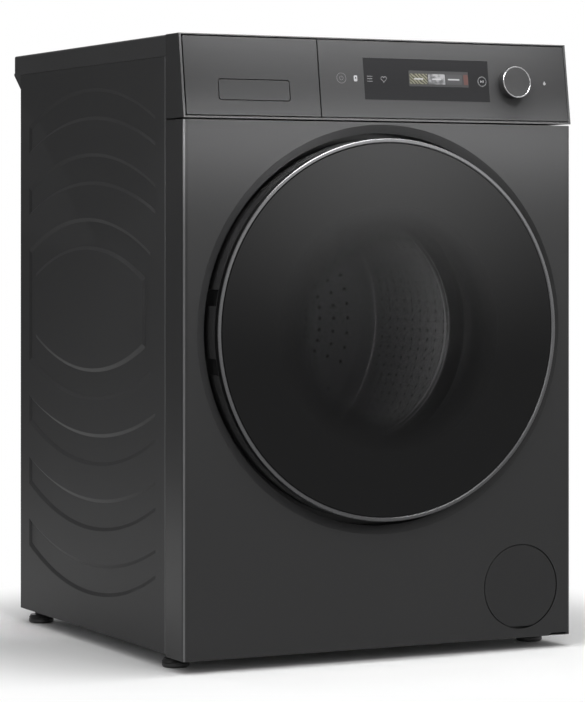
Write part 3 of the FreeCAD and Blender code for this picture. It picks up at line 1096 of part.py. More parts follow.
def makeHeater():
    low = "doorHeight - heaterRing"
    length = "tubRear - heaterFront"
    legs = [rod(f"{side}heaterSpread", "frontY + heaterFront", low, "heaterTube", length)
            for side in ("", "-")]
    bend = rod("-heaterSpread", "frontY + heaterFront", low, "heaterTube", "2 * heaterSpread", "X")
    elbows = []
    for side in ("", "-"):
        ball = bind(document.addObject("Part::Sphere", "Elbow"), Radius="heaterTube")
        elbows.append(place(ball, f"{side}heaterSpread", "frontY + heaterFront", low))
    plug = box("-heaterPlate / 2 + 4 + stillGap", "frontY + tubRear - tubBackWall",
               f"{low} - heaterSlotHeight / 2 + stillGap", "heaterPlate - 8 - 2 * stillGap",
               "tubBackWall + 1",
               "heaterSlotHeight - 2 * stillGap")
    plate = box("-heaterPlate / 2", "frontY + tubRear + stillGap", f"{low} - heaterPlateHeight / 2",
                "heaterPlate",
                "3", "heaterPlateHeight")
    pins = [rod(f"{side}heaterSpread / 2", "frontY + tubRear + 1", low, "2.5", "14") for side in ("", "-")]
    node("heater", fuse(*legs, bend, *elbows, plug, plate, *pins))


def makeDrum():
    skin = "drumGauge"
    radius, front, rear, corner = "drumRadius", "drumFront", "drumRear", "drumCorner"
    node("drum_shell", centred(turned([
        ("drumMouth", f"{front} + 6"), ("drumMouth + 1.5", f"{front} + 1.5"), ("drumMouth + 6", front),
        (f"{radius} - {corner}", front), (f"{radius} - 2", f"{front} + 2"), (radius, f"{front} + {corner}"),
        (radius, f"{rear} - {corner}"), (f"{radius} - 2", f"{rear} - 2"), (f"{radius} - {corner}", rear),
        ("spiderHub", rear), ("spiderHub", f"{rear} - {skin}"),
        (f"{radius} - {corner}", f"{rear} - {skin}"),
        (f"{radius} - 2.6", f"{rear} - 2.6"), (f"{radius} - {skin}", f"{rear} - {corner}"),
        (f"{radius} - {skin}", f"{front} + {corner}"), (f"{radius} - 2.6", f"{front} + 2.6"),
        (f"{radius} - {corner}", f"{front} + {skin}"), ("drumMouth + 6", f"{front} + {skin}"),
        ("drumMouth + 2.3", f"{front} + 2.3"), (f"drumMouth + {skin}", f"{front} + 6")])))

    lifters = []
    foot = "drumRadius - drumGauge - stillGap"
    for n in range(3):
        outer = lifterBlock("0", foot)
        inner = lifterBlock("lifterWall", f"{foot} + 1")
        base = rod(0, "frontY + lifterFront - 1", 0, foot, "lifterRear - lifterFront + 2")
        shell = document.addObject("Part::Common", "Lifter")
        shell.Base = cut(outer, inner)
        shell.Tool = base
        lifters.append(place(group(shell), 0, 0, "doorHeight", (0, 1, 0), str(60 + 120 * n)))
    node("drum_lifters", group(*lifters))

    hub = centred(turned([("frontBearingBore + stillGap / 6", f"{rear} + stillGap / 2"),
                          ("spiderHub - stillGap", f"{rear} + stillGap / 2"),
                          ("spiderHub - stillGap", f"{rear} + spiderThickness / 2"),
                          ("frontBearingBore + 6", f"{rear} + spiderThickness / 2"),
                          ("frontBearingBore + 6", "hubFront - 1"),
                          ("frontBearingBore + stillGap / 6", "hubFront - 1")]))
    arms = []
    for n in range(3):
        arm = box("frontBearingBore + 4", f"frontY + {rear} + stillGap / 2", "-spiderArm / 2",
                  f"drumRadius - {corner} - 6 - frontBearingBore",
                  "hubFront - 1 - drumRear - stillGap / 2", "spiderArm")
        arms.append(place(group(arm), 0, 0, "doorHeight", (0, 1, 0), str(30 + 120 * n)))
    node("drum_spider", fuse(hub, *arms))
    shaft = centred(turned([
        (0, f"{rear} - 4"), ("frontBearingBore + 8", f"{rear} - 4"), ("frontBearingBore + 8", rear),
        ("frontBearingBore", rear),
        ("frontBearingBore", "hubFront + sealWidth + frontBearingWidth + 4"),
        ("rearBearingBore", "hubFront + sealWidth + frontBearingWidth + 4"),
        ("rearBearingBore", "rotorRear"), ("rearBearingBore - 4", "rotorRear"),
        ("rearBearingBore - 4", "shaftEnd"), (0, "shaftEnd")]))
    prism = document.addObject("Part::Prism", "Hexagon")
    prism.Polygon = 6
    bind(prism, Circumradius="nutFlats / sqrt(3)", Height="nutHeight")
    place(prism, 0, f"frontY + rotorRear + {skin} + stillGap + 1", "doorHeight", (-1, 0, 0), 90)
    washer = rod(0, "frontY + rotorRear + stillGap", "doorHeight", "rotorHub", "1")
    bore = rod(0, "frontY + rotorRear", "doorHeight", "rearBearingBore - 4 + pinGap", "3 * nutHeight")
    node("drum_shaft", group(shaft, cut(prism, bore), cut(washer, bore)))


def lifterBlock(inset, foot):
    """A tapered bar along the drum, its foot at a radius on +X."""
    body = document.addObject("PartDesign::Body", "Tapered")
    corners = [(foot, f"-lifterBase / 2 + {inset}"), (foot, f"lifterBase / 2 - {inset}"),
               (f"drumRadius - lifterHeight + {inset}", f"lifterTop / 2 - {inset} / 2"),
               (f"drumRadius - lifterHeight + {inset}", f"-lifterTop / 2 + {inset} / 2")]
    profile = outline(body, "XZ_Plane", corners)
    pad = body.newObject("PartDesign::Pad", "Pad")
    pad.Profile = profile
    pad.SideType = "Symmetric"
    bind(pad, Length=f"lifterRear - lifterFront - 2 * {inset}")
    return place(body, 0, "frontY + (lifterRear + lifterFront) / 2", 0)


def makeMotor():
    core = centred(turned([("statorInner", "statorFront"), ("statorCore", "statorFront"),
                           ("statorCore", "statorFront + statorDepth"),
                           ("statorInner", "statorFront + statorDepth")]))
    pole = box("statorCore - 1", "frontY + statorFront", "-poleWidth / 2", "statorOuter - statorCore - 4",
               "statorDepth", "poleWidth")
    tip = box("statorOuter - 6", "frontY + statorFront", "-poleWidth * 0.7", "6", "statorDepth",
              "poleWidth * 1.4")
    tooth = fuse(pole, tip)
    teeth = [place(group(tooth), 0, 0, "doorHeight", (0, 1, 0), f"{n} * 360 / statorPoles")
             for n in range(int(mm("statorPoles")))]
    node("stator", fuse(core, *teeth))

    magnet = "statorOuter + rotorGap"
    rim = "statorFront - 2"
    node("rotor", centred(turned([
        ("rearBearingBore + stillGap / 6", "rotorRear - rotorHubLength"),
        ("rotorHub", "rotorRear - rotorHubLength"),
        ("rotorHub", "rotorRear - rotorWall"), (f"{magnet} + magnetThickness", "rotorRear - rotorWall"),
        (f"{magnet} + magnetThickness", "statorFront + statorDepth + 2"),
        (magnet, "statorFront + statorDepth + 2"),
        (magnet, rim), ("rotorOuter", rim), ("rotorOuter", "rotorRear"),
        ("rearBearingBore + stillGap / 6", "rotorRear")])))


def makeGasket():
    """The rubber bellows between the front panel's lip and the tub's neck, with a lip round the glass."""
    lip, gap = "mouthRadius", "stillGap"
    lipEnd = "recessDepth + mouthLip"
    neckStart = "tubFront - neckLength"
    node("gasket", centred(turned([
        (f"{lip} + sheetGauge + {gap}", f"{lipEnd} - 5.5"), (f"{lip} + 4", f"{lipEnd} - 5.5"),
        (f"{lip} + 4", f"{lipEnd} + 3"), (f"{lip} + 8.5", f"{lipEnd} + 8"),
        (f"{lip} + 8.5", f"{lipEnd} + 13.5"),
        (f"{lip} - 2.5", f"{lipEnd} + 19"), (f"{lip} - 2.5", f"{neckStart} - 11.5"),
        (f"{lip} + 6", f"{neckStart} - 6.5"), (f"tubNeck + tubWall + {gap} + 3", f"{neckStart} - 3.5"),
        (f"tubNeck + tubWall + {gap} + 3", f"{neckStart} + 11"),
        (f"tubNeck + tubWall + {gap}", f"{neckStart} + 11"),
        (f"tubNeck + tubWall + {gap}", f"{neckStart} - {gap}"),
        (f"tubNeck - {gap}", f"{neckStart} - {gap}"),
        (f"tubNeck - {gap}", f"{neckStart} + 10"), (f"tubNeck - {gap} - 3", f"{neckStart} + 10"),
        (f"tubNeck - {gap} - 3", f"{neckStart} - 4"), (f"{lip} - 5.5", f"{neckStart} - 8.5"),
        (f"{lip} - 5.5", f"{lipEnd} + 17"), (f"{lip} + 5.5", f"{lipEnd} + 11.5"),
        (f"{lip} + 5.5", f"{lipEnd} + 9.5"),
        (f"{lip} + 0.5", f"{lipEnd} + 4.5"), (f"{lip} - 3.5", f"{lipEnd} + 4.5"),
        (f"{lip} - 3.5", "recessDepth + 4"),
        ("gasketLip + 0.4", "recessDepth + 8"), ("gasketLip", "recessDepth + 5.5"),
        (f"{lip} - 3.5", "recessDepth + 0.8"), (f"{lip} - {gap}", "recessDepth + 0.8"),
        (f"{lip} - {gap}", f"{lipEnd} + {gap}"), (f"{lip} + sheetGauge + {gap}", f"{lipEnd} + {gap}")])))


# ---- suspension ----

def makeSuspension():
    springs = [springShape(side * mm("springX")) for side in (1, -1)]
    node("suspension_springs", shaped(Part.makeCompound(springs)))

    low = "baseLow + basePlate + stillGap"
    cylinders, rods = [], []
    for side in ("", "-"):
        for row in ("damperFront", "damperRear"):
            at = (f"{side}damperX", f"frontY + {row}", 0)
            cylinders.append(place(turned([
                (0, low), ("damperRadius", low), ("damperRadius", "damperTop"),
                ("rodRadius + pinGap", "damperTop"),
                ("rodRadius + pinGap", "damperTop - damperWall"),
                ("damperRadius - damperWall", "damperTop - damperWall"),
                ("damperRadius - damperWall", "damperFoot"),
                (0, "damperFoot")], "XZ_Plane"), *at))
            piston = "damperRadius - damperWall - pinGap"
            middle = "(damperTop + damperFoot - damperWall) / 2"
            rods.append(place(turned([
                (0, f"{middle} - pistonLength / 2"), (piston, f"{middle} - pistonLength / 2"),
                (piston, f"{middle} + pistonLength / 2"), ("rodRadius", f"{middle} + pistonLength / 2"),
                ("rodRadius", "rodTop"), (0, "rodTop")], "XZ_Plane"), *at))
    node("damper_cylinders", group(*cylinders))
    node("damper_rods", group(*rods))


def springShape(x):
    """A coil on a vertical axis with a ring at each end, through the frame's tab and the tub's lug."""
    radius, wire, hook = mm("springRadius"), mm("springWire") / 2, mm("hookRadius")
    low, high = mm("springLow"), mm("springHigh")
    y = mm("frontY") + mm("springDepth")
    coil = Part.makeHelix((high - low) / mm("springTurns"), high - low, radius)
    profile = Part.Wire(Part.makeCircle(wire, Vector(radius, 0, 0), Vector(0, 1, 0)))
    pieces = [Part.Wire(coil.Edges).makePipeShell([profile], True, True)]
    for height, ring in ((0, -hook), (high - low, high - low + hook)):
        pieces.append(Part.makeCylinder(wire * 1.15, radius + wire, Vector(0, 0, height), Vector(1, 0, 0)))
        pieces.append(Part.makeTorus(hook, wire, Vector(0, 0, ring), Vector(1, 0, 0)))
    pieces[0].translate(Vector(x, y, low))
    for piece in pieces[1:]:
        piece.translate(Vector(x, y, low))
    return pieces[0].fuse(pieces[1:])


# ---- hoses and rear fittings ----

def hoseShape(points, turns, outer, wall):
    """A hose through points, with its corners rounded to the given radii."""
    edges, start = [], points[0]
    for corner, after, radius in zip(points[1:-1], points[2:], turns):
        back, on = (start - corner).normalize(), (after - corner).normalize()
        first, last = corner + back * radius, corner + on * radius
        middle = corner + (back + on) * radius * (1 - math.sqrt(0.5))
        edges += [Part.makeLine(start, first), Part.Arc(first, middle, last).toShape()]
        start = last
    edges.append(Part.makeLine(start, points[-1]))
    path = Part.Wire(edges)
    along = points[1] - points[0]
    tubes = [path.makePipeShell([Part.Wire(Part.makeCircle(radius, points[0], along))], True, True)
             for radius in (outer, outer - wall)]
    return tubes[0].cut(tubes[1])


def makeHoses():
    """The hoses inside the cabinet: tub to pump, drawer to tub, valve to drawer and pump to outlet."""
    front, wall = mm("frontY"), mm("hoseWall")

    def at(x, depth, z):
        return Vector(x, front + depth, z)

    pumpX = mm("coverCentreX") - mm("filterRadius") - mm("pumpInletReach")
    sump = [at(mm("sumpX"), mm("sumpDepth"), mm("sumpSpigotLow") + 10),
            at(mm("sumpX"), mm("sumpDepth"), mm("pumpInletHeight")),
            at(pumpX + mm("pumpHoseStart"), mm("sumpDepth"), mm("pumpInletHeight"))]
    fill = [at(-mm("fillHoseX"), mm("fillHoseDepth"), mm("fillSpigotTop") - 12),
            at(-mm("fillHoseX"), mm("fillHoseDepth"), mm("housingLow") - 4)]
    valveFront = mm("backPanelDepth") - mm("sheetGauge") - mm("stillGap") - mm("valveDepth")
    run = valveFront - 20 - mm("valveHoseTurn")
    housingRear = mm("trayRear") + 2 * mm("housingGap") + mm("stillGap") + mm("housingWall")
    valve = [at(mm("valveX"), valveFront - 2, mm("valveHeight")), at(mm("valveX"), run, mm("valveHeight")),
             at(-mm("fillHoseX"), run, mm("valveHeight")),
             at(-mm("fillHoseX"), housingRear + 2, mm("valveHeight"))]
    drain = [at(mm("drainX"), mm("pumpEnd") + mm("voluteDepth") + 3, mm("drainHeight")),
             at(mm("drainX"), mm("backPanelDepth") - 12, mm("drainHeight"))]
    turn = mm("valveHoseTurn")
    node("internal_hoses", shaped(Part.makeCompound([
        hoseShape(sump, [mm("sumpBend")], mm("sumpHoseRadius"), wall),
        hoseShape(fill, [], mm("fillHoseRadius"), wall),
        hoseShape(valve, [turn, turn], mm("valveHoseRadius"), wall / 2),
        hoseShape(drain, [], mm("drainHoseRadius"), wall)])))


def makeRearFittings():
    inside = "frontY + backPanelDepth - sheetGauge - stillGap"
    low = "valveHeight - valveSide / 2"
    case = rounded(box("valveX - valveSide / 2", f"{inside} - valveDepth", low, "valveSide", "valveDepth",
                       "valveSide"), "valveCorner", (0, 1, 0))
    coil = box("valveX - valveSide / 3", f"{inside} - valveDepth * 0.8", f"{low} + valveSide - 1",
               "valveSide * 2 / 3", "valveDepth * 0.6", "coilHeight + 1")
    outlet = rod("valveX", f"{inside} - valveDepth - 15", "valveHeight",
                 "valveHoseRadius - hoseWall / 2 - stillGap",
                 "16")
    neck = rod("valveX", f"{inside} - 1", "valveHeight", "spigotRadius - stillGap",
               f"rearY + 2 * stillGap - ({inside}) + 1")
    thread = rod("valveX", "rearY + stillGap", "valveHeight", "spigotRadius", "spigotLength - stillGap")
    bore = rod("valveX", f"{inside} + 4", "valveHeight", "spigotRadius - spigotWall",
               f"rearY + spigotLength - ({inside})")
    node("inlet_valve", cut(fuse(case, coil, outlet, neck, thread), bore))

    seat = "backPanelDepth + stillGap"
    through = "backPanelDepth - sheetGauge - 3"
    gland = place(turned([
        ("glandBore", through), ("glandRadius - 3 * stillGap", through),
        ("glandRadius - 3 * stillGap", seat),
        ("glandRadius + 3", seat), ("glandRadius + 3", f"{seat} + 3"), ("glandRadius", f"{seat} + 3"),
        ("glandRadius - 2", "bodyDepth + glandLength"), ("glandBore", "bodyDepth + glandLength")]),
        "-glandX", "frontY", "glandHeight")
    tail = "backPanelDepth - 30"
    spigot = place(turned([
        ("drainBore", tail), ("drainHoseRadius - hoseWall - stillGap", tail),
        ("drainHoseRadius - hoseWall - stillGap", "backPanelDepth - 11"),
        ("drainHoseRadius", "backPanelDepth - 11"),
        ("drainHoseRadius", seat), ("drainHoseRadius + 4", seat), ("drainHoseRadius + 4", f"{seat} + 3"),
        ("drainSpigotRadius", f"{seat} + 3"), ("drainSpigotRadius", "bodyDepth + drainSpigotLength"),
        ("drainBore", "bodyDepth + drainSpigotLength")]), "drainX", "frontY", "drainHeight")
    node("rear_fittings", group(gland, spigot))


for make in (makeSidePanels, makeFrontPanel, makeWorktop, makeTopFrame, makeBackPanel, makeScrews,
             makeTransitCaps,
             makeBase, makeFeet, makeDoor, makeHinge, makeDoorLock, makeFascia, makeDial, makeDrawer,
             makeFilterCover, makePump, makeTub, makeCounterweights, makeHeater, makeDrum, makeMotor,
             makeGasket,
             makeSuspension, makeHoses, makeRearFittings):
    make()
document.recompute()

for item in document.Objects:
    if {"Invalid", "Error"} & set(item.State):
        raise ValueError(f"{item.Label} failed: {item.State}")
os.makedirs("parts", exist_ok=True)
for item in nodes:
    if item.Shape.isNull() or not item.Shape.isValid() or not item.Shape.Solids:
        raise ValueError(f"{item.Label} has no valid shape")
    item.Shape.exportStep(f"parts/{item.Label}.step")
print(f"{len(nodes)} sub-parts written")
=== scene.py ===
import json
import math

import bmesh
import bpy
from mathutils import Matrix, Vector


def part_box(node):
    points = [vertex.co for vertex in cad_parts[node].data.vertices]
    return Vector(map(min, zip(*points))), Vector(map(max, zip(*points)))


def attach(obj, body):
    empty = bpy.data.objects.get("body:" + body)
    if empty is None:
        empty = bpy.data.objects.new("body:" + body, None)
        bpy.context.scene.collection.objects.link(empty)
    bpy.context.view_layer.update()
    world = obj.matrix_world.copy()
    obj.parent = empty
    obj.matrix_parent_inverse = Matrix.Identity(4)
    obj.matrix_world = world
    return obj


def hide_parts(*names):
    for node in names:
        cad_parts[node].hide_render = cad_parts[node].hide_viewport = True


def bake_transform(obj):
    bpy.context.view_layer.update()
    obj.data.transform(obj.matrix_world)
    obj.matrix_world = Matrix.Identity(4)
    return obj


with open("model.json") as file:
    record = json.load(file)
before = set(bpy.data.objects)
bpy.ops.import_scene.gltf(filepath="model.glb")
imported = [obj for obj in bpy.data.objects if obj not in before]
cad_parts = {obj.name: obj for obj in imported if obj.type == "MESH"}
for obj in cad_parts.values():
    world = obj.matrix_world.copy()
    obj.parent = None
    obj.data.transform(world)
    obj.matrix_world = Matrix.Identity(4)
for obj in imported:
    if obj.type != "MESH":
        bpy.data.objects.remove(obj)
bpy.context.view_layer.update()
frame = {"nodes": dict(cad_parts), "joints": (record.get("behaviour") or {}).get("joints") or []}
nodes = frame["nodes"]

# places that most pieces need, taken from the frame, in metres
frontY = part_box("front_panel")[0].y
doorLow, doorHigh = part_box("door_bezel")
drumAxis = Vector((0, 0, (doorLow.z + doorHigh.z) / 2))
seamHeight = 0.0044  # from the front panel's top to where the fascia starts to lean
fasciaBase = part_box("front_panel")[1].z + seamHeight
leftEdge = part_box("front_panel")[0].x
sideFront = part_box("side_panel_left")[0].y
dialAxis = Vector(next(j["axis"] for j in frame["joints"] if j["name"] == "dial_press")).normalized()
fasciaOut = dialAxis * (-1 if dialAxis.y > 0 else 1)
fasciaUp = Vector((0, fasciaOut.z, -fasciaOut.y))


def fasciaPoint(across, height, out=0.0):
    # a point of the leaning fascia, from the left edge, the floor and its own surface
    climb = (height - fasciaBase) / fasciaUp.z
    return Vector((leftEdge + across, frontY, fasciaBase)) + fasciaUp * climb + fasciaOut * out


class Field:
    # one socket of a node tree, with the usual operators on values
    def __init__(self, finish, socket):
        self.finish = finish
        self.socket = socket

    def out(self, name):
        # another output of the same node
        return Field(self.finish, self.socket.node.outputs[name])

    def math(self, operation, *values):
        return self.finish.node("Math", {"operation": operation}, dict(enumerate(values)))

    def __add__(self, other):
        return self.math("ADD", self, other)

    def __radd__(self, other):
        return self.math("ADD", other, self)

    def __sub__(self, other):
        return self.math("SUBTRACT", self, other)

    def __rsub__(self, other):
        return self.math("SUBTRACT", other, self)

    def __mul__(self, other):
        return self.math("MULTIPLY", self, other)

    def __rmul__(self, other):
        return self.math("MULTIPLY", other, self)

    def __pow__(self, other):
        return self.math("POWER", self, other)

    def __abs__(self):
        return self.math("ABSOLUTE", self)

    def ramp(self, low, high, start=0.0, end=1.0):
        # start below low, end above high, smooth between
        limits = {"Value": self, "From Min": low, "From Max": high, "To Min": start, "To Max": end}
        return self.finish.node("MapRange", {"interpolation_type": "SMOOTHSTEP"}, limits)


def joinSocket(tree, slot, value):
    if isinstance(value, Field):
        tree.links.new(value.socket, slot)
    elif slot.type == "RGBA" and len(value) == 3:
        slot.default_value = (*value, 1)
    else:
        slot.default_value = value


class Finish:
    # the nodes of one material or world; a material's Principled shader is what they feed
    def __init__(self, name, block=None, **constants):
        self.material = block or bpy.data.materials.new(name)
        self.material.use_nodes = True
        self.tree = self.material.node_tree
        self.shader = self.tree.nodes.get("Principled BSDF")
        self.place = self.node("TexCoord", {}, {}, "Object")
        self.feed(**constants)

    def node(self, kind, settings, values, output=0):
        # every node that isn't there from the start is made here
        made = self.tree.nodes.new("ShaderNode" + kind)
        for name, value in settings.items():
            setattr(made, name, value)
        for name, value in values.items():
            joinSocket(self.tree, made.inputs[name], value)
        return Field(self, made.outputs[output])

    def feed(self, **values):
        for name, value in values.items():
            joinSocket(self.tree, self.shader.inputs[socketNames[name]], value)

    def noise(self, scale, detail=2.0, rough=0.5, where=None):
        grain = {"Vector": where or self.place, "Scale": scale, "Detail": detail, "Roughness": rough}
        return self.node("TexNoise", {}, grain, "Fac")

    def stretched(self, x, y, z):
        return self.node("VectorMath", {"operation": "MULTIPLY"}, {0: self.place, 1: (x, y, z)})

    def split(self):
        x = self.node("SeparateXYZ", {}, {"Vector": self.place}, "X")
        return x, x.out("Y"), x.out("Z")

    def fromAxis(self, x, z):
        # distance from the axis of the door and the drum
        lift = z - drumAxis.z
        return (x * x + lift * lift) ** 0.5

    def mixed(self, mask, first, second):
        return self.node("Mix", {"data_type": "RGBA"}, {"Factor": mask, 6: first, 7: second}, 2)

    def shades(self, mask, level, low, high):
        # greys from low to high times the level
        return self.mixed(mask, grey(level * low), grey(level * high))

    def bump(self, height, depth, strength):
        # depth in millimetres
        values = {"Height": height, "Distance": depth / 1000, "Strength": strength}
        return self.node("Bump", {}, values, "Normal")


socketNames = {"color": "Base Color", "rough": "Roughness", "metal": "Metallic", "alpha": "Alpha",
               "normal": "Normal", "specular": "Specular IOR Level", "sheen": "Sheen Weight",
               "glow": "Emission Color", "glowStrength": "Emission Strength"}


def grey(level):
    # a neutral with a trace of blue
    return (level, level, level * 1.02)


def dimmed(color, share):
    return tuple(channel * share for channel in color)


# where the coats, the painted light and the painted shade around the door change, in metres; each pair
# is a soft edge
surround = {
    # recess and recessAcross bound the painted light on the slope around the door
    "recess": (0.2792, 0.28), "recessAcross": (-0.26, 0.0),  # radius, and from left to middle
    "ringInner": (0.2585, 0.259), "ringBand": (-0.0139, -0.0131),  # radius, and from the panel's front
    # heights: the ring's metal band lies below ringBright, and its upper part carries painted shade
    # above ringPaintedShade
    "ringBright": (0.47, 0.56), "ringPaintedShade": (0.56, 0.64),  # heights
}


def powderCoat(name, level, rough, edge, recessLightLevel=0.0):
    # sprayed steel: faint orange peel, slow drifts of tone, and a painted highlight on the front bends;
    # edge holds the bend's distance from the middle, its depth and the painted highlight's level
    paint = Finish(name, specular=0.22)
    x, y, z = paint.split()
    drift = paint.noise(3.0, 3.0)
    peel = paint.noise(700.0, 2.0)
    fleck = paint.noise(2600.0, 1.0).ramp(0.62, 0.75)
    tone = paint.shades(drift, level, 0.92, 1.08)
    if recessLightLevel:
        # painted light: the slope around the door is lighter towards the left, lifting the shade that
        # the door casts there
        slope = paint.fromAxis(x, z).ramp(*surround["recess"], 1, 0)
        slope = slope * x.ramp(*surround["recessAcross"], 1, 0)
        tone = paint.mixed(slope, tone, grey(recessLightLevel))
    # painted highlight: a lighter grey along the front bends at the sides
    width, depth, highlightLevel = edge
    bendHighlight = abs(x).ramp(width - 0.001, width) * y.ramp(depth, depth + 0.001, 1, 0)
    tone = paint.mixed(bendHighlight, tone, grey(highlightLevel))
    paint.feed(color=paint.mixed(fleck * 0.35, tone, grey(level * 2.6)),
               rough=rough + (peel - 0.5) * 0.05, normal=paint.bump(peel, 0.04, 0.5))
    return paint.material


def mouldedPlastic(name, color, rough):
    # injection moulding: a fine spark-eroded grain and slightly polished patches
    plastic = Finish(name, specular=0.5)
    coarse = plastic.noise(9.0, 3.0)
    fine = plastic.noise(1500.0, 3.0, 0.6)
    plastic.feed(color=plastic.mixed(coarse, dimmed(color, 0.9), color),
                 rough=rough + (coarse - 0.5) * 0.06 + (fine - 0.5) * 0.08,
                 normal=plastic.bump(fine, 0.06, 0.6))
    return plastic.material


def brushedPaint(name, level, rough, run=(60.0, 4000.0, 4000.0), specular=0.25):
    # a satin lacquer over a finely brushed ground, the brushing along one direction
    lacquer = Finish(name, specular=specular)
    streaks = lacquer.noise(1.0, 2.0, 0.6, lacquer.stretched(*run))
    drift = lacquer.noise(4.0)
    tone = lacquer.shades(drift, level, 0.93, 1.07)
    lacquer.feed(color=lacquer.mixed(streaks, tone, grey(level * 1.35)),
                 rough=rough + (streaks - 0.5) * 0.12, normal=lacquer.bump(streaks, 0.02, 0.35))
    return lacquer.material


def doorSide(name, level, metalLevel):
    # moulded ring: its front band is bright metal low down, and its upper part is darkened as painted
    # shade
    ring = Finish(name, specular=0.12)
    x, y, z = ring.split()
    bandStart, bandEnd = surround["ringBand"]
    metal = y.ramp(frontY + bandStart, frontY + bandEnd, 1, 0) * z.ramp(*surround["ringBright"], 1, 0)
    metal = metal * ring.fromAxis(x, z).ramp(*surround["ringInner"])
    grain = ring.noise(1400.0, 2.0)
    moulded = ring.shades(grain, level, 0.85, 1.15)
    # painted shade: the upper part of the ring is darkened
    moulded = ring.mixed(z.ramp(*surround["ringPaintedShade"]), moulded, grey(level * 0.35))
    ring.feed(color=ring.mixed(metal, moulded, grey(metalLevel)), metal=metal,
              rough=0.5 - metal * 0.15 + (grain - 0.5) * 0.06, normal=ring.bump(grain, 0.03, 0.4))
    return ring.material


def edgedPaint(name, level, highlightLevel):
    # satin paint with a painted highlight along its front edge
    paint = Finish(name, specular=0.25)
    y, z = paint.split()[1:]
    base = fasciaPoint(0, fasciaBase)
    ahead = (y - base.y) * fasciaOut.y + (z - base.z) * fasciaOut.z
    drift = paint.noise(6.0, 3.0)
    streaks = paint.noise(1.0, 2.0, 0.6, paint.stretched(60.0, 4000.0, 4000.0))
    tone = paint.shades(drift, level, 0.92, 1.08)
    # painted highlight: the front edge is a lighter grey
    paint.feed(color=paint.mixed(ahead.ramp(-0.0011, -0.0002), tone, grey(highlightLevel)),
               rough=0.36 + (streaks - 0.5) * 0.1, normal=paint.bump(streaks, 0.02, 0.3))
    return paint.material


def brushedMetal(name, color, rough, run):
    metal = Finish(name, metal=1.0)
    streaks = metal.noise(1.0, 3.0, 0.7, metal.stretched(*run))
    smudge = metal.noise(11.0, 3.0)
    metal.feed(color=metal.mixed(streaks, dimmed(color, 0.85), color),
               rough=rough + (streaks - 0.5) * 0.16 + (smudge - 0.5) * 0.08,
               normal=metal.bump(streaks, 0.02, 0.4))
    return metal.material


def galvanisedSheet(name):
    # hot dipped zinc: crystals of slightly different grey
    zinc = Finish(name, metal=1.0)
    crystal = zinc.node("TexVoronoi", {}, {"Vector": zinc.place, "Scale": 95.0}, "Color")
    tone = zinc.node("RGBToBW", {}, {"Color": crystal})
    cloud = zinc.noise(14.0, 4.0)
    shade = tone * 0.22 + cloud * 0.12
    zinc.feed(color=zinc.mixed(shade, grey(0.42), grey(0.68)), rough=0.36 + tone * 0.14,
              normal=zinc.bump(tone, 0.03, 0.3))
    return zinc.material


def castMetal(name, level):
    # sand cast: a rough, slightly blotched skin
    cast = Finish(name, metal=1.0)
    sand = cast.noise(420.0, 4.0, 0.6)
    cast.feed(color=cast.shades(sand, level, 0.8, 1.0), rough=0.5 + (sand - 0.5) * 0.2,
              normal=cast.bump(sand, 0.2, 0.6))
    return cast.material


def turnedSteel(name, level):
    # fine tool marks around the piece
    steel = Finish(name, metal=1.0)
    rings = steel.noise(1.0, 2.0, 0.5, steel.stretched(40.0, 3000.0, 40.0))
    steel.feed(color=steel.shades(rings, level, 0.8, 1.0), rough=0.28 + rings * 0.12,
               normal=steel.bump(rings, 0.02, 0.4))
    return steel.material


def castConcrete(name):
    # cloudy grey with sand and small dark pores
    block = Finish(name, specular=0.3)
    sand = block.noise(240.0, 5.0, 0.7)
    cloud = block.noise(9.0, 3.0)
    cells = block.node("TexVoronoi", {}, {"Vector": block.place, "Scale": 160.0}, "Distance")
    pores = cells.ramp(0.02, 0.16)
    tone = block.mixed(cloud, (0.26, 0.25, 0.235), (0.42, 0.41, 0.39))
    block.feed(color=block.mixed(pores, (0.14, 0.135, 0.13), tone), rough=0.85 + (sand - 0.5) * 0.2,
               normal=block.bump(sand * 0.5 + pores, 0.6, 0.7))
    return block.material


def mouldedRubber(name, level, rough):
    # a soft bloom over matt rubber, with fine mould marks
    rubber = Finish(name, specular=0.4, sheen=0.1)
    bloom = rubber.noise(18.0, 4.0)
    skin = rubber.noise(900.0, 2.0)
    rubber.feed(color=rubber.shades(bloom, level, 0.85, 1.2), rough=rough + (bloom - 0.5) * 0.15,
                normal=rubber.bump(skin, 0.08, 0.5))
    return rubber.material


def filledPlastic(name, level):
    # chalk filled polypropylene: faint flow marks and specks
    tub = Finish(name, specular=0.4)
    flow = tub.noise(1.0, 4.0, 0.6, tub.stretched(20.0, 5.0, 20.0))
    speck = tub.noise(1200.0, 1.0).ramp(0.6, 0.72)
    tone = tub.shades(flow, level, 0.88, 1.0)
    tub.feed(color=tub.mixed(speck * 0.3, tone, grey(level * 0.5)), rough=0.48 + (flow - 0.5) * 0.2,
             normal=tub.bump(flow, 0.3, 0.3))
    return tub.material


def laminate(name, level):
    # pressed laminate with a pebbled surface
    top = Finish(name, specular=0.5)
    cells = {"Vector": top.place, "Scale": 650.0}
    pebble = top.node("TexVoronoi", {"feature": "SMOOTH_F1"}, cells, "Distance")
    drift = top.noise(5.0, 2.0)
    top.feed(color=top.shades(drift, level, 0.9, 1.1), rough=0.42 + (pebble - 0.3) * 0.1,
             normal=top.bump(pebble, 0.12, 0.5))
    return top.material


# the bends of the drum's mouth, which carry a painted highlight: radii, and depth behind the front
# panel, in metres
mouthHighlights = {"curl": (0.1638, 0.1643), "lip": 0.1663, "lipHalf": (0.0004, 0.0008),
              "depth": (0.122, 0.124)}


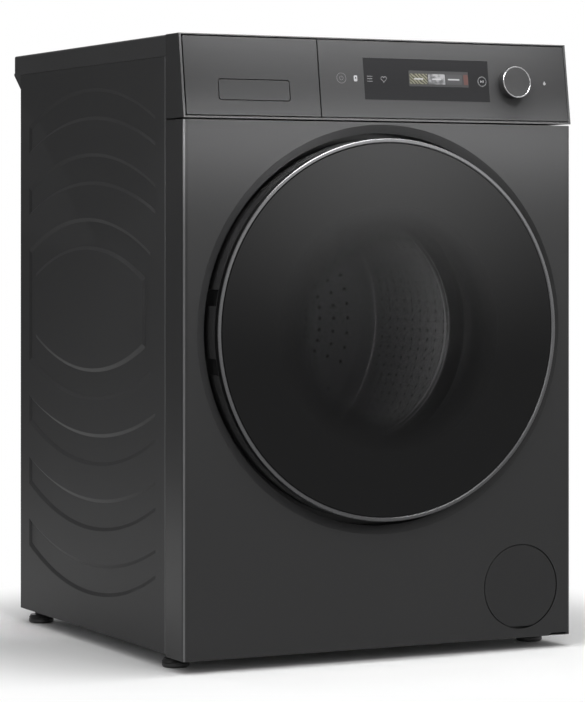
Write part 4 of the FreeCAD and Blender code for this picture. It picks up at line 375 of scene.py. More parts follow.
def drumSteel(name):
    # rolled stainless: fine lines along the roll, slightly cloudy polish, and a painted highlight, pale
    # and less metallic, where the mouth is bent
    steel = Finish(name)
    x, y, z = steel.split()
    turn = x.math("ARCTAN2", x, z - drumAxis.z)
    around = steel.node("CombineXYZ", {}, {"X": turn * 6.0, "Y": y * 900.0, "Z": 0.0})
    lines = steel.noise(1.0, 2.0, 0.6, around)
    cloud = steel.noise(22.0, 3.0)
    radius = steel.fromAxis(x, z)
    curl = radius.ramp(*mouthHighlights["curl"], 1, 0)
    lip = abs(radius - mouthHighlights["lip"]).ramp(*mouthHighlights["lipHalf"], 1, 0)
    near, far = mouthHighlights["depth"]
    # painted highlight: the mouth's bends are pale and less metallic
    paintedArcs = (curl + lip) * y.ramp(frontY + near, frontY + far, 1, 0)
    plain = steel.mixed(lines, grey(0.4), grey(0.5))
    steel.feed(color=steel.mixed(paintedArcs, plain, grey(0.9)), metal=0.88 - paintedArcs * 0.85,
               rough=0.4 + lines * 0.12 + cloud * 0.08, normal=steel.bump(lines, 0.02, 0.3))
    return steel.material


def smokedGlass(name, clearRadius):
    # dark print round the rim, smoke tint in the middle
    glass = Finish(name, specular=0.12, color=(0.004, 0.004, 0.0042))
    x, z = glass.split()[::2]
    rim = glass.fromAxis(x, z).ramp(clearRadius - 0.06, clearRadius)
    haze = glass.noise(2.5, 2.0)
    glass.feed(alpha=0.52 + rim * 0.48, rough=0.06 + haze * 0.03)
    return glass.material


def clearGlass(name):
    # thin pressed glass: nearly clear face on, denser where it is seen edge on
    glass = Finish(name, color=(0.012, 0.013, 0.013), specular=0.5)
    edge = glass.node("LayerWeight", {}, {"Blend": 0.5}, "Facing")
    smear = glass.noise(16.0, 3.0)
    glass.feed(alpha=0.02 + edge ** 6.0 * 0.3, rough=0.12 + smear * 0.05)
    return glass.material


def glossStrip(name):
    # black gloss with a slight haze
    strip = Finish(name, specular=0.26, color=(0.006, 0.006, 0.0065))
    haze = strip.noise(30.0, 2.0)
    strip.feed(rough=0.07 + haze * 0.05)
    return strip.material


def litMark(name, color, strength):
    # print that glows, a little unevenly
    mark = Finish(name, color=color, rough=0.5, specular=0.05, glowStrength=strength)
    unevenness = mark.noise(400.0, 1.0)
    mark.feed(glow=mark.mixed(unevenness, dimmed(color, 0.85), color))
    return mark.material


def hatchedTile(name):
    # a screen tile of slanted stripes
    tile = Finish(name, rough=0.5, specular=0.05, glowStrength=0.4)
    wave = {"Vector": tile.place, "Scale": 110.0, "Distortion": 3.0, "Detail": 1.0}
    stripes = tile.node("TexWave", {"bands_direction": "DIAGONAL"}, wave, "Fac")
    tone = tile.mixed(stripes, (0.012, 0.012, 0.009), (0.09, 0.087, 0.065))
    tile.feed(color=tone, glow=tone)
    return tile.material


def foldedTile(name):
    # a screen tile of pale folds, like cloth
    tile = Finish(name, rough=0.5, specular=0.05, glowStrength=0.4)
    folds = tile.noise(130.0, 2.0, 0.5).ramp(0.35, 0.65)
    tone = tile.mixed(folds, (0.04, 0.04, 0.041), (0.12, 0.12, 0.123))
    tile.feed(color=tone, glow=tone)
    return tile.material


def circuitBoard(name):
    # green lacquer over a grid of tracks
    board = Finish(name, specular=0.5)
    grid = {"Vector": board.place, "Scale": 160.0, "Mortar Size": 0.035}
    brick = board.node("TexBrick", {}, grid, "Fac")
    cloud = board.noise(30.0, 2.0)
    board.feed(color=board.mixed(brick, (0.012, 0.07, 0.03), (0.03, 0.16, 0.07)),
               rough=0.3 + cloud * 0.1, normal=board.bump(brick, 0.1, 0.5))
    return board.material


def copperWire(name):
    # wound wire, turn beside turn
    copper = Finish(name, metal=1.0)
    wave = {"Vector": copper.place, "Scale": 420.0, "Distortion": 1.2}
    turns = copper.node("TexWave", {}, wave, "Fac")
    copper.feed(color=copper.mixed(turns, (0.35, 0.12, 0.05), (0.72, 0.3, 0.14)),
                rough=0.34 + turns * 0.1, normal=copper.bump(turns, 0.3, 0.8))
    return copper.material


def laminatedIron(name):
    # stacked plates, stained
    iron = Finish(name, metal=1.0)
    depth = iron.split()[1] * 4000.0
    plates = depth.math("SINE", depth)
    stain = iron.noise(60.0, 3.0)
    iron.feed(color=iron.mixed(stain, grey(0.16), grey(0.3)), rough=0.5 + stain * 0.15,
              normal=iron.bump(plates, 0.06, 0.5))
    return iron.material


print("finishes")
# the levels and colours are linear, from 0 to 1
finishes = {
    # graphite_paint's last number is the level of the painted light around the door; each paint's edge
    # tuple holds a painted highlight along its front bends
    "paint": powderCoat("graphite_paint", 0.020, 0.36, (0.298, frontY + 0.003, 0.12), 0.045),
    "sidePaint": powderCoat("graphite_paint_side", 0.024, 0.5, (0.29, sideFront + 0.0025, 0.08)),
    "fascia": brushedPaint("fascia_lacquer", 0.018, 0.34, specular=0.17),
    "trim": edgedPaint("frame_lacquer", 0.020, 0.034),
    "knob": brushedPaint("knob_lacquer", 0.015, 0.36, (400.0, 400.0, 400.0)),
    "worktop": laminate("worktop_laminate", 0.022),
    "zinc": galvanisedSheet("galvanised_sheet"),
    "bezel": brushedMetal("bezel_metal", (0.085, 0.085, 0.087), 0.3, (300.0, 300.0, 300.0)),
    "doorSide": doorSide("door_side", 0.03, 0.075),
    "ring": brushedMetal("dial_ring_metal", (0.36, 0.36, 0.365), 0.25, (300.0, 300.0, 300.0)),
    "blackPlastic": mouldedPlastic("black_plastic", (0.012, 0.012, 0.0122), 0.42),
    "whitePlastic": mouldedPlastic("white_plastic", (0.34, 0.345, 0.35), 0.4),
    "bluePlastic": mouldedPlastic("blue_plastic", (0.03, 0.12, 0.36), 0.35),
    "greyPlastic": mouldedPlastic("grey_plastic", (0.3, 0.3, 0.31), 0.4),
    "tub": filledPlastic("tub_plastic", 0.02),
    "rubber": mouldedRubber("gasket_rubber", 0.035, 0.55),
    "hose": mouldedRubber("hose_rubber", 0.02, 0.45),
    "steel": turnedSteel("turned_steel", 0.5),
    "zincPlate": turnedSteel("zinc_plated_steel", 0.62),
    "drum": drumSteel("drum_stainless"),
    "cast": castMetal("cast_aluminium", 0.5),
    "iron": laminatedIron("laminated_iron"),
    "copper": copperWire("copper_windings"),
    "concrete": castConcrete("cast_concrete"),
    "doorGlass": smokedGlass("smoked_glass", 0.172),
    "bowlGlass": clearGlass("pressed_glass"),
    "strip": glossStrip("gloss_strip"),
    "circuit": circuitBoard("circuit_board"),
    "markWhite": litMark("lit_mark", (0.15, 0.15, 0.153), 0.5),
    "markGrey": litMark("dim_mark", (0.11, 0.11, 0.112), 0.1),
    "screenGround": litMark("screen_ground", (0.02, 0.02, 0.0205), 0.4),
    "tileHatched": hatchedTile("tile_hatched"),
    "tilePale": foldedTile("tile_pale"),
    "tileDark": litMark("tile_dark", (0.028, 0.028, 0.029), 0.4),
    "tileWarm": litMark("tile_warm", (0.045, 0.024, 0.022), 0.4),
}

# the finish of each part that keeps its own shape
nodeFinishes = {
    "paint": ["front_panel"],
    "sidePaint": ["side_panel_left", "side_panel_right"],
    "fascia": ["control_fascia", "drawer_front", "drawer_flap", "filter_cover"],
    "trim": ["fascia_frame"],
    "knob": ["dial_knob"],
    "worktop": ["worktop"],
    "zinc": ["top_frame", "back_panel", "rear_service_cover", "base_frame"],
    "bezel": ["door_bezel"],
    "doorSide": ["door_outer_frame"],
    "ring": ["dial_ring"],
    "blackPlastic": ["transit_caps", "foot_front_left", "foot_front_right", "foot_rear_left",
                     "foot_rear_right", "door_inner_frame", "door_lock", "filter_frame", "pump_filter",
                     "display_module", "rear_fittings", "damper_rods"],
    "whitePlastic": ["drawer_tray", "dispenser_housing", "inlet_valve", "damper_cylinders",
                     "pump_impeller"],
    "bluePlastic": ["siphon_cap"],
    "greyPlastic": ["drain_pump", "drum_lifters"],
    "tub": ["tub_front", "tub_rear"],
    "rubber": ["gasket"],
    "hose": ["internal_hoses"],
    "steel": ["door_hinge_pin", "lock_bolt", "dial_shaft", "drum_bearings", "heater", "drum_shaft",
              "suspension_springs"],
    "zincPlate": ["panel_screws", "latch_hook"],
    "drum": ["drum_shell"],
    "cast": ["door_hinge", "drum_spider"],
    "iron": ["stator", "rotor"],
    "concrete": ["counterweights"],
    "doorGlass": ["door_outer_glass"],
    "bowlGlass": ["door_bowl"],
    "strip": ["display_glass"],
    "circuit": ["control_board"],
}
for finish, names in nodeFinishes.items():
    for name in names:
        mesh = nodes[name].data
        mesh.materials.clear()
        mesh.materials.append(finishes[finish])


# degrees; a sharper edge stays sharp, or is softened; closer points than this become one
creases = {"made": 40, "kept": 35, "softened": 40, "merge": 0.00002}


def makePiece(name, build, finish, smooth=True):
    # a new object from a function that fills its mesh
    mesh = bpy.data.meshes.new(name)
    shape = bmesh.new()
    build(shape)
    bmesh.ops.remove_doubles(shape, verts=shape.verts, dist=creases["merge"])
    bmesh.ops.recalc_face_normals(shape, faces=shape.faces)
    shape.to_mesh(mesh)
    shape.free()
    piece = bpy.data.objects.new(name, mesh)
    bpy.context.scene.collection.objects.link(piece)
    mesh.materials.append(finishes[finish])
    if smooth:
        mesh.shade_smooth()
        mesh.set_sharp_from_angle(angle=math.radians(creases["made"]))
    return piece


def axisPoint(radius, y, turn):
    # a point around the axis of the door and the drum
    return drumAxis + Vector((radius * math.cos(turn), y, radius * math.sin(turn)))


def revolve(shape, profile, steps):
    # a closed profile of (radius, y) turned about the drum's axis
    rings = []
    for n in range(steps):
        turn = math.tau * n / steps
        rings.append([shape.verts.new(axisPoint(radius, y, turn)) for radius, y in profile])
    joinRings(shape, rings, True)


def joinRings(shape, rings, closed):
    # quads between each ring of points and the next
    count = len(rings[0])
    for here, there in list(zip(rings, rings[1:])) + ([(rings[-1], rings[0])] if closed else []):
        for k in range(count):
            after = (k + 1) % count
            shape.faces.new((here[k], here[after], there[after], there[k]))


def tube(shape, path, radius, sides):
    # a round tube along points, its radius a number or a list of one per point
    radii = radius if isinstance(radius, list) else [radius] * len(path)
    rings = []
    normal = None
    for n, point in enumerate(path):
        along = (path[min(n + 1, len(path) - 1)] - path[max(n - 1, 0)]).normalized()
        if normal is None:
            normal = along.orthogonal().normalized()
        normal = (normal - along * normal.dot(along)).normalized()
        side = along.cross(normal)
        rings.append([])
        for k in range(sides):
            turn = math.tau * k / sides
            spoke = normal * math.cos(turn) + side * math.sin(turn)
            rings[-1].append(shape.verts.new(point + radii[n] * spoke))
    joinRings(shape, rings, False)
    shape.faces.new(reversed(rings[0]))
    shape.faces.new(rings[-1])


for node in nodes.values():
    node.data.shade_smooth()
    node.data.set_sharp_from_angle(angle=math.radians(creases["kept"]))

# widths of the softened edges, in metres
edges = {
    "side_panel_left": 0.0006, "side_panel_right": 0.0006, "worktop": 0.0008, "filter_cover": 0.0004,
    "fascia_frame": 0.0005, "control_fascia": 0.0005, "display_glass": 0.0002, "dial_knob": 0.0004,
    "drawer_front": 0.0005, "drawer_flap": 0.0004,
}
for name, width in edges.items():
    bevel = nodes[name].modifiers.new("edge", "BEVEL")
    bevel.width = width
    bevel.segments = 2
    bevel.limit_method = "ANGLE"
    bevel.angle_limit = math.radians(creases["softened"])

print("marks on the fascia")
# in millimetres: across from the machine's left edge, up from the middle of the glass strip
marks = {
    "line": 0.45, "low": 0.02, "high": 0.1,  # a line's width, and how far out the print starts and ends
    "power": {"across": 239, "ring": 7.0, "inner": 2.7, "open": (120, 420),
              "stem": (0.3, 1.3), "line": 0.4},
    "remote": {"across": 260.8, "wide": 5.2, "tall": 8.4, "corner": 1.4, "dot": 1.1, "dotUp": 0.6,
               "dotOut": (0.11, 0.15)},
    "menu": {"across": 282.8, "wide": 8.0, "pitch": 3.5},
    "heart": {"across": 304.5, "wide": 8.8},
    "start": {"across": 460.0, "ring": 6.6, "arrow": ((-2.6, 1.9), (-2.6, -1.9), (-0.3, 0)),
              "bars": (0.7, 2.0), "barWide": 0.6, "barHalf": 1.8},
    "drop": {"across": 561.5, "tall": 6.0, "belly": 0.34, "down": 0.16, "round": (160, 380)},
}
glassLow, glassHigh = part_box("display_glass")
markHeight = (glassLow.z + glassHigh.z) / 2


def markPoint(across, up, out):
    return fasciaPoint(across / 1000, markHeight + up / 1000 * fasciaUp.z, out / 1000)


def plate(shape, points, low=marks["low"], high=marks["high"]):
    # a thin raised plate with this outline
    lower = [shape.verts.new(markPoint(x, y, low)) for x, y in points]
    upper = [shape.verts.new(markPoint(x, y, high)) for x, y in points]
    shape.faces.new(upper)
    shape.faces.new(reversed(lower))
    for n in range(len(points)):
        after = (n + 1) % len(points)
        shape.faces.new((lower[n], lower[after], upper[after], upper[n]))


def stroke(shape, points, width, closed=False):
    # a drawn line of even width, as a row of small plates joined end to end
    count = len(points)
    sides = []
    for n, point in enumerate(points):
        before = points[n - 1] if n or closed else point
        after = points[(n + 1) % count] if n < count - 1 or closed else point
        along = Vector((after[0] - before[0], after[1] - before[1])).normalized()
        across = Vector((-along.y, along.x)) * width / 2
        sides.append([Vector(point) + across, Vector(point) - across])
    low, high = marks["low"], marks["high"]
    corners = [((a, low), (b, low), (b, high), (a, high)) for a, b in sides]
    rings = [[shape.verts.new(markPoint(*place, out)) for place, out in four] for four in corners]
    joinRings(shape, rings, closed)
    if not closed:
        shape.faces.new(rings[0])
        shape.faces.new(reversed(rings[-1]))


def arc(x, y, radius, start=0, end=360, steps=48):
    # points along a circle or a part of one, from and to these degrees
    turns = [math.radians(start + (end - start) * n / steps) for n in range(steps + 1)]
    if end - start >= 360:
        turns.pop()
    return [(x + radius * math.cos(turn), y + radius * math.sin(turn)) for turn in turns]


def roundedBox(left, low, right, high, radius):
    corners = ((right - radius, high - radius, 0), (left + radius, high - radius, 90),
               (left + radius, low + radius, 180), (right - radius, low + radius, 270))
    return [point for x, y, turn in corners for point in arc(x, y, radius, turn, turn + 90, 6)]


def drawPower(shape):
    power = marks["power"]
    x, inner, line = power["across"], power["inner"], power["line"]
    stroke(shape, arc(x, 0, power["ring"]), line, True)
    stroke(shape, arc(x, 0, inner, *power["open"], 32), line)
    stroke(shape, [(x, inner * share) for share in power["stem"]], line)


def heartLine(across, wide, steps=48):
    # a heart as one closed line
    line = []
    for n in range(steps):
        turn = math.tau * n / steps
        line.append((across + wide / 2 * math.sin(turn) ** 3,
                     wide / 32 * (13 * math.cos(turn) - 5 * math.cos(2 * turn) - 2 * math.cos(3 * turn)
                                  - math.cos(4 * turn))))
    return line


def drawBright(shape):
    line = marks["line"]
    remote, menu, start, drop = marks["remote"], marks["menu"], marks["start"], marks["drop"]
    x, wide, tall = remote["across"], remote["wide"] / 2, remote["tall"] / 2
    plate(shape, roundedBox(x - wide, -tall, x + wide, tall, remote["corner"]))
    x, wide = menu["across"], menu["wide"] / 2
    for up in (-menu["pitch"], 0, menu["pitch"]):
        stroke(shape, [(x - wide, up), (x + wide, up)], line)
    stroke(shape, heartLine(marks["heart"]["across"], marks["heart"]["wide"]), line, True)
    x, tall = start["across"], start["barHalf"]
    stroke(shape, arc(x, 0, start["ring"]), line, True)
    plate(shape, [(x + aside, up) for aside, up in start["arrow"]])
    for left in (x + shift for shift in start["bars"]):
        right = left + start["barWide"]
        plate(shape, [(left, -tall), (right, -tall), (right, tall), (left, tall)])
    x, tall = drop["across"], drop["tall"]
    belly = arc(x, -tall * drop["down"], tall * drop["belly"], *drop["round"], 24)
    plate(shape, belly + [(x, tall / 2)])


def drawDot(shape):
    # the dark key on the remote control mark
    remote = marks["remote"]
    plate(shape, arc(remote["across"], remote["dotUp"], remote["dot"], steps=16), *remote["dotOut"])


# the lit screen: tiles from left to right, each with a soft bar where a programme's name would be
screen = {
    "ground": (344, -9.0, 438, 13.0), "tileLow": -5.6, "tileHigh": 8.8, "barHalf": 1.0,
    "tiles": {"hatched": (345.2, 373.0), "pale": (374.6, 401.0), "dark": (403.0, 428.0),
              "warm": (430.5, 437.6)},
    "bars": ((352.0, 366.5), (380.5, 395.0), (405.5, 424.0)),
    "corners": {"ground": 0.6, "tile": 0.8, "bar": 0.9},
    "layers": {"ground": (0.02, 0.05), "tile": (0.06, 0.1), "bar": (0.11, 0.14)},
}


def screenPlate(shape, kind, left, low, right, high):
    outline = roundedBox(left, low, right, high, screen["corners"][kind])
    plate(shape, outline, *screen["layers"][kind])


def drawScreen(shape):
    screenPlate(shape, "ground", *screen["ground"])


def drawTile(name):
    left, right = screen["tiles"][name]
    return lambda shape: screenPlate(shape, "tile", left, screen["tileLow"], right, screen["tileHigh"])


def drawBars(shape):
    middle, half = (screen["tileLow"] + screen["tileHigh"]) / 2, screen["barHalf"]
    for left, right in screen["bars"]:
        screenPlate(shape, "bar", left, middle - half, right, middle + half)


fasciaPieces = [("touch_power", drawPower, "markGrey"), ("touch_marks", drawBright, "markWhite"),
                ("touch_dot", drawDot, "strip"), ("screen_ground", drawScreen, "screenGround"),
                ("screen_bars", drawBars, "markWhite")]
for name in screen["tiles"]:
    fasciaPieces.append(("screen_tile_" + name, drawTile(name), "tile" + name.capitalize()))
for name, build, finish in fasciaPieces:
    piece = makePiece(name, build, finish, smooth=False)
    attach(piece, "cabinet")


def lathe(points):
    # radius and depth behind the front panel in millimetres, as radius and y in metres
    return [(radius / 1000, frontY + depth / 1000) for radius, depth in points]


def softened(points, share=0.22, rounds=2):
    # cut the corners of a closed profile
    for _ in range(rounds):
        cut = []
        for n, (x, y) in enumerate(points):
            across, up = points[(n + 1) % len(points)]
            cut += [(x + (across - x) * share, y + (up - y) * share),
                    (across - (across - x) * share, up - (up - y) * share)]
        points = cut
    return points


print("gasket")
# radius and depth of the bellows from the panel's lip to the tub's neck; ribs stiffen its inner lip
gasketShape = {
    "profile": [(181.3, 38.5), (184, 38.5), (184, 47), (188.5, 52), (188.5, 57.5), (177.5, 63),
                (177.5, 66.5), (186, 71.5), (188.8, 74.5), (188.8, 89), (185.8, 89), (185.8, 77.7),
                (181.7, 77.7), (181.7, 88), (178.7, 88), (178.7, 74), (174.5, 69.5), (174.5, 61),
                (185.5, 55.5), (185.5, 53.5), (180.5, 48.5), (176.5, 48.5), (176.5, 43), (164.3, 42),
                (163.6, 39.5), (176.5, 34.8), (179.7, 34.8), (179.7, 44.3), (181.3, 44.3)],
    "steps": 160, "ribs": 58, "ribRadius": 1.0, "ribSides": 8,
    "ribEnds": [(167.5, 40.4), (174.5, 37.2)],
}


def buildGasket(shape):
    revolve(shape, lathe(softened(gasketShape["profile"])), gasketShape["steps"])


def buildRibs(shape):
    # short mould ribs across the lip
    for n in range(gasketShape["ribs"]):
        turn = math.tau * n / gasketShape["ribs"]
        ends = [axisPoint(radius, y, turn) for radius, y in lathe(gasketShape["ribEnds"])]
        tube(shape, ends, gasketShape["ribRadius"] / 1000, gasketShape["ribSides"])


for name, build in (("gasket_bellows", buildGasket), ("gasket_ribs", buildRibs)):
    piece = makePiece(name, build, "rubber")
    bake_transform(piece)
    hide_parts("gasket")

print("drum")
# millimetres behind the front panel and from the axis; the holes stand in straight rows
drumShape = {
    "gauge": 0.9, "lip": 163.4, "lipDepth": 8.6, "faceBeads": (191, 212), "bead": 1.6,
    "hole": 2.9, "around": 104, "firstRow": 138.0, "rowPitch": 23.7, "rows": 14,
    "rim": (216, 211, 206), "hub": (74, 66, 34),  # where the rear wall steps in and out
    "backRings": (188, 164, 140, 116, 92), "backHalf": 12, "backStep": 4,
}
drumLow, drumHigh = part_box("drum_shell")


def drumOutline():
    # radius and depth from the mouth's curl to the hub; a band is perforated, and is listed by where
    # it starts in the outline, with its middle and with how many columns there are for each hole
    front, rear = (drumLow.y - frontY) * 1000 + 0.4, (drumHigh.y - frontY) * 1000 - 0.2
    radius, bead = drumHigh.x * 1000 - 0.1, drumShape["bead"]
    lip, tip = drumShape["lip"], front + drumShape["lipDepth"]
    # the mouth: a small curl, a lip that leans outwards and the bend into the face
    outline = [(lip + 1.5, tip + 0.2), (lip + 0.8, tip + 0.8), (lip + 0.1, tip + 0.6), (lip - 0.3, tip),
               (lip, tip - 0.8), (lip + 2.4, front + 1.6), (lip + 3.1, front + 0.5), (lip + 4.2, front),
               (lip + 8, front)]
    for middle in drumShape["faceBeads"]:
        steps = ((-6, 0), (-3, bead), (3, bead), (6, 0))
        outline += [(middle + aside, front + up) for aside, up in steps]
    outline += [(radius - inward, front + back) for inward, back in ((7, 0), (3, 1), (1, 3), (0, 7))]
    bands, half = {}, drumShape["rowPitch"] / 2
    outline.append((radius, drumShape["firstRow"] - half))
    for row in range(drumShape["rows"]):
        middle = drumShape["firstRow"] + row * drumShape["rowPitch"]
        bands[len(outline) - 1] = (radius, middle), 1
        outline.append((radius, middle + half))
    wall, half = rear - drumShape["backStep"], drumShape["backHalf"]
    outline += [(radius - inward, rear - ahead) for inward, ahead in ((1, 3), (3, 1), (7, 0))]
    outline += zip(drumShape["rim"], (rear, wall, wall))
    outline.append((drumShape["backRings"][0] + half, wall))
    for ring in drumShape["backRings"]:
        bands[len(outline) - 1] = (ring, wall), 2
        outline.append((ring - half, wall))
    outline += zip(drumShape["hub"], (wall, rear, rear))
    return outline, bands


def drumPoint(radius, depth, turn):
    return axisPoint(radius / 1000, frontY + depth / 1000, turn)


def buildDrum(shape):
    outline, bands = drumOutline()
    count = drumShape["around"] * 2
    step = math.tau / count
    rings = [[shape.verts.new(drumPoint(radius, depth, (n - 1) * step)) for n in range(count)]
             for radius, depth in outline]
    for k, (near, far) in enumerate(zip(rings, rings[1:])):
        if k not in bands:
            for n in range(count):
                after = (n + 1) % count
                shape.faces.new((near[n], far[n], far[after], near[after]))
            continue
        (radius, depth), every = bands[k]
        along = (Vector(outline[k + 1]) - Vector(outline[k])).normalized()
        sides = [shape.verts.new(drumPoint(radius, depth, (n - 1) * step))
                 for n in range(0, count, 2)]
        for cell in range(drumShape["around"]):
            a, b, c = 2 * cell, 2 * cell + 1, (2 * cell + 2) % count
            turn = 2 * cell * step
            left, right = sides[cell], sides[(cell + 1) % len(sides)]
            border = [near[a], near[b], near[c], right, far[c], far[b], far[a], left]
            if cell % every:
                middle = shape.verts.new(drumPoint(radius, depth, turn))
                for m in range(0, 8, 2):
                    shape.faces.new((border[m], border[m + 1], middle, border[m - 1]))
                continue
            hole = []
            for m in range(8):
                angle = math.radians(-135 + 45 * m)
                place = Vector((radius, depth)) + along * drumShape["hole"] * math.sin(angle)
                aside = drumShape["hole"] * math.cos(angle) / radius
                hole.append(shape.verts.new(drumPoint(place.x, place.y, turn + aside)))
            for m in range(8):
                after = (m + 1) % 8
                shape.faces.new((border[m], border[after], hole[after], hole[m]))


piece = makePiece("drum_perforated", buildDrum, "drum")
borders = bmesh.new()  # the rims of the sheet stay sharp
borders.from_mesh(piece.data)
for edge in borders.edges:
    edge.smooth = edge.smooth and not edge.is_boundary
borders.to_mesh(piece.data)
borders.free()
sheet = piece.modifiers.new("sheet", "SOLIDIFY")
sheet.thickness = drumShape["gauge"] / 1000
sheet.offset = -1
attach(piece, "drum")
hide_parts("drum_shell")

print("springs")
springLow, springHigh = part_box("suspension_springs")
# radii in millimetres; steps are the points of one turn, and endSteps those in which the coil widens
springShape = {"turns": 11, "coil": 12.0, "wire": 1.75, "hook": 8.0, "steps": 20, "endSteps": 12,
               "sides": 10}


def hookPath(x, y, z, turns, up):
    # a hook's arc about this middle, through these degrees; up is 1, or -1 for one turned over
    hook = springShape["hook"] / 1000
    angles = [math.radians(turn) for turn in turns]
    return [Vector((x, y + hook * math.sin(a), z + up * hook * math.cos(a))) for a in angles]


def springPath(side):
    # lower hook, coil and upper hook in one line; the coil widens from a hook and narrows to the next
    hook, coil, wire = [springShape[name] / 1000 for name in ("hook", "coil", "wire")]
    low, high = springLow.z + 2 * hook + wire, springHigh.z - 2 * hook - wire
    x = side * (springHigh.x - coil - wire)
    middle = (springLow.y + springHigh.y) / 2
    path = hookPath(x, middle, low - hook, range(270, -71, -20), 1)
    steps, ends = springShape["steps"], springShape["endSteps"]
    count = springShape["turns"] * steps
    for n in range(count + 1):
        turn = math.tau * n / steps
        grow = min(1, n / ends, (count - n) / ends)
        path.append(Vector((x + coil * grow * math.cos(turn), middle + coil * grow * math.sin(turn),
                            low + (high - low) * n / count)))
    return path + hookPath(x, middle, high + hook, range(-90, 251, 20), -1)


def buildSpring(shape, side):
    tube(shape, springPath(side), springShape["wire"] / 1000, springShape["sides"])


for name, side in (("spring_left", -1), ("spring_right", 1)):
    piece = makePiece(name, lambda shape: buildSpring(shape, side), "steel")
    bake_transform(piece)
    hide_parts("suspension_springs")

print("hoses")
# paths in millimetres from the machine's centre, behind the front panel and above the floor; ribs is
# the pitch of the corrugation, rise its height, and the clamps sit at these shares of the length
hoses = {
    "sump": {"path": [(180, 115, 100), (110, 115, 100), (60, 115, 110), (60, 115, 170)], "radius": 20.5,
             "ribs": 5.5, "rise": 2.2, "clamps": (0.03, 0.97)},
    "fill": {"path": [(-190, 215, 742), (-190, 215, 715), (-190, 215, 687), (-190, 215, 660)],
             "radius": 15.0, "ribs": 7.0, "rise": 1.8, "clamps": (0.06, 0.94)},
    "valve": {"path": [(200, 548, 765), (200, 490, 765), (160, 490, 765), (-150, 490, 765),
                       (-190, 490, 765), (-190, 450, 765), (-190, 254, 765)],
              "radius": 5.8, "ribs": 0, "rise": 0, "clamps": (0.012, 0.985)},
    "drain": {"path": [(262, 156, 75), (262, 300, 75), (262, 440, 75), (262, 579, 75)], "radius": 10.2,
              "ribs": 4.5, "rise": 0.8, "clamps": (0.02, 0.98)},
}
hoseEnds = {"sump": ((0.15, frontY + 0.115, 0.1), (0.06, frontY + 0.115, 0.16)),
            "fill": ((-0.19, frontY + 0.215, 0.735), (-0.19, frontY + 0.215, 0.67))}
hoseDetail = {"step": 1.1, "sides": 28, "plainSteps": 14, "fadeSteps": 4, "clampOut": 0.9,
              "clampSteps": 7}


def hosePath(points):
    # even points along a smooth curve through the route
    line = bpy.data.curves.new("route", "CURVE")
    line.dimensions = "3D"
    line.resolution_u = 40
    spline = line.splines.new("NURBS")
    spline.points.add(len(points) - 1)
    for spot, (x, depth, z) in zip(spline.points, points):
        spot.co = (x / 1000, frontY + depth / 1000, z / 1000, 1)
    spline.order_u = 3
    spline.use_endpoint_u = True
    carrier = bpy.data.objects.new("route", line)
    drawn = bpy.data.meshes.new_from_object(carrier)
    found = [vertex.co.copy() for vertex in drawn.vertices]
    bpy.data.objects.remove(carrier)
    bpy.data.meshes.remove(drawn)
    bpy.data.curves.remove(line)
    travelled = [0.0]
    for here, there in zip(found, found[1:]):
        travelled.append(travelled[-1] + (there - here).length)
    even, at, step = [], 0, hoseDetail["step"] / 1000
    for n in range(int(travelled[-1] / step) + 1):
        while at < len(found) - 2 and travelled[at + 1] < n * step:
            at += 1
        share = (n * step - travelled[at]) / max(travelled[at + 1] - travelled[at], 1e-9)
        even.append(found[at].lerp(found[at + 1], share))
    return even


def buildHose(shape, hose):
    # corrugated between its plain ends
    even = hosePath(hose["path"])
    radii = []
    for n in range(len(even)):
        wave = 0
        if hose["ribs"]:
            wave = 0.5 - 0.5 * math.cos(math.tau * n * hoseDetail["step"] / hose["ribs"])
        inward = min(n, len(even) - 1 - n) - hoseDetail["plainSteps"]
        fade = min(1, max(0, inward / hoseDetail["fadeSteps"]))
        radii.append((hose["radius"] + hose["rise"] * wave * fade) / 1000)
    tube(shape, even, radii, hoseDetail["sides"])


def buildClamps(shape, hose):
    even, wide = hosePath(hose["path"]), hoseDetail["clampSteps"]
    radius = (hose["radius"] + hoseDetail["clampOut"]) / 1000
    for share in hose["clamps"]:
        spot = min(len(even) - 1 - wide, max(2, round(share * len(even))))
        tube(shape, even[spot:spot + wide:2], radius, hoseDetail["sides"])


for name, hose in hoses.items():
    kinds = ((name + "_hose", buildHose, "hose", "rubber_black"),
             (name + "_hose_clamps", buildClamps, "zincPlate", "galvanised"))
    for part, build, finish, material in kinds:
        piece = makePiece(part, lambda shape: build(shape, hose), finish)
        if name in hoseEnds:  # these two lead to the tub
            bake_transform(piece)
        else:
            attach(piece, "cabinet")
        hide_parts("internal_hoses")


print("stage")
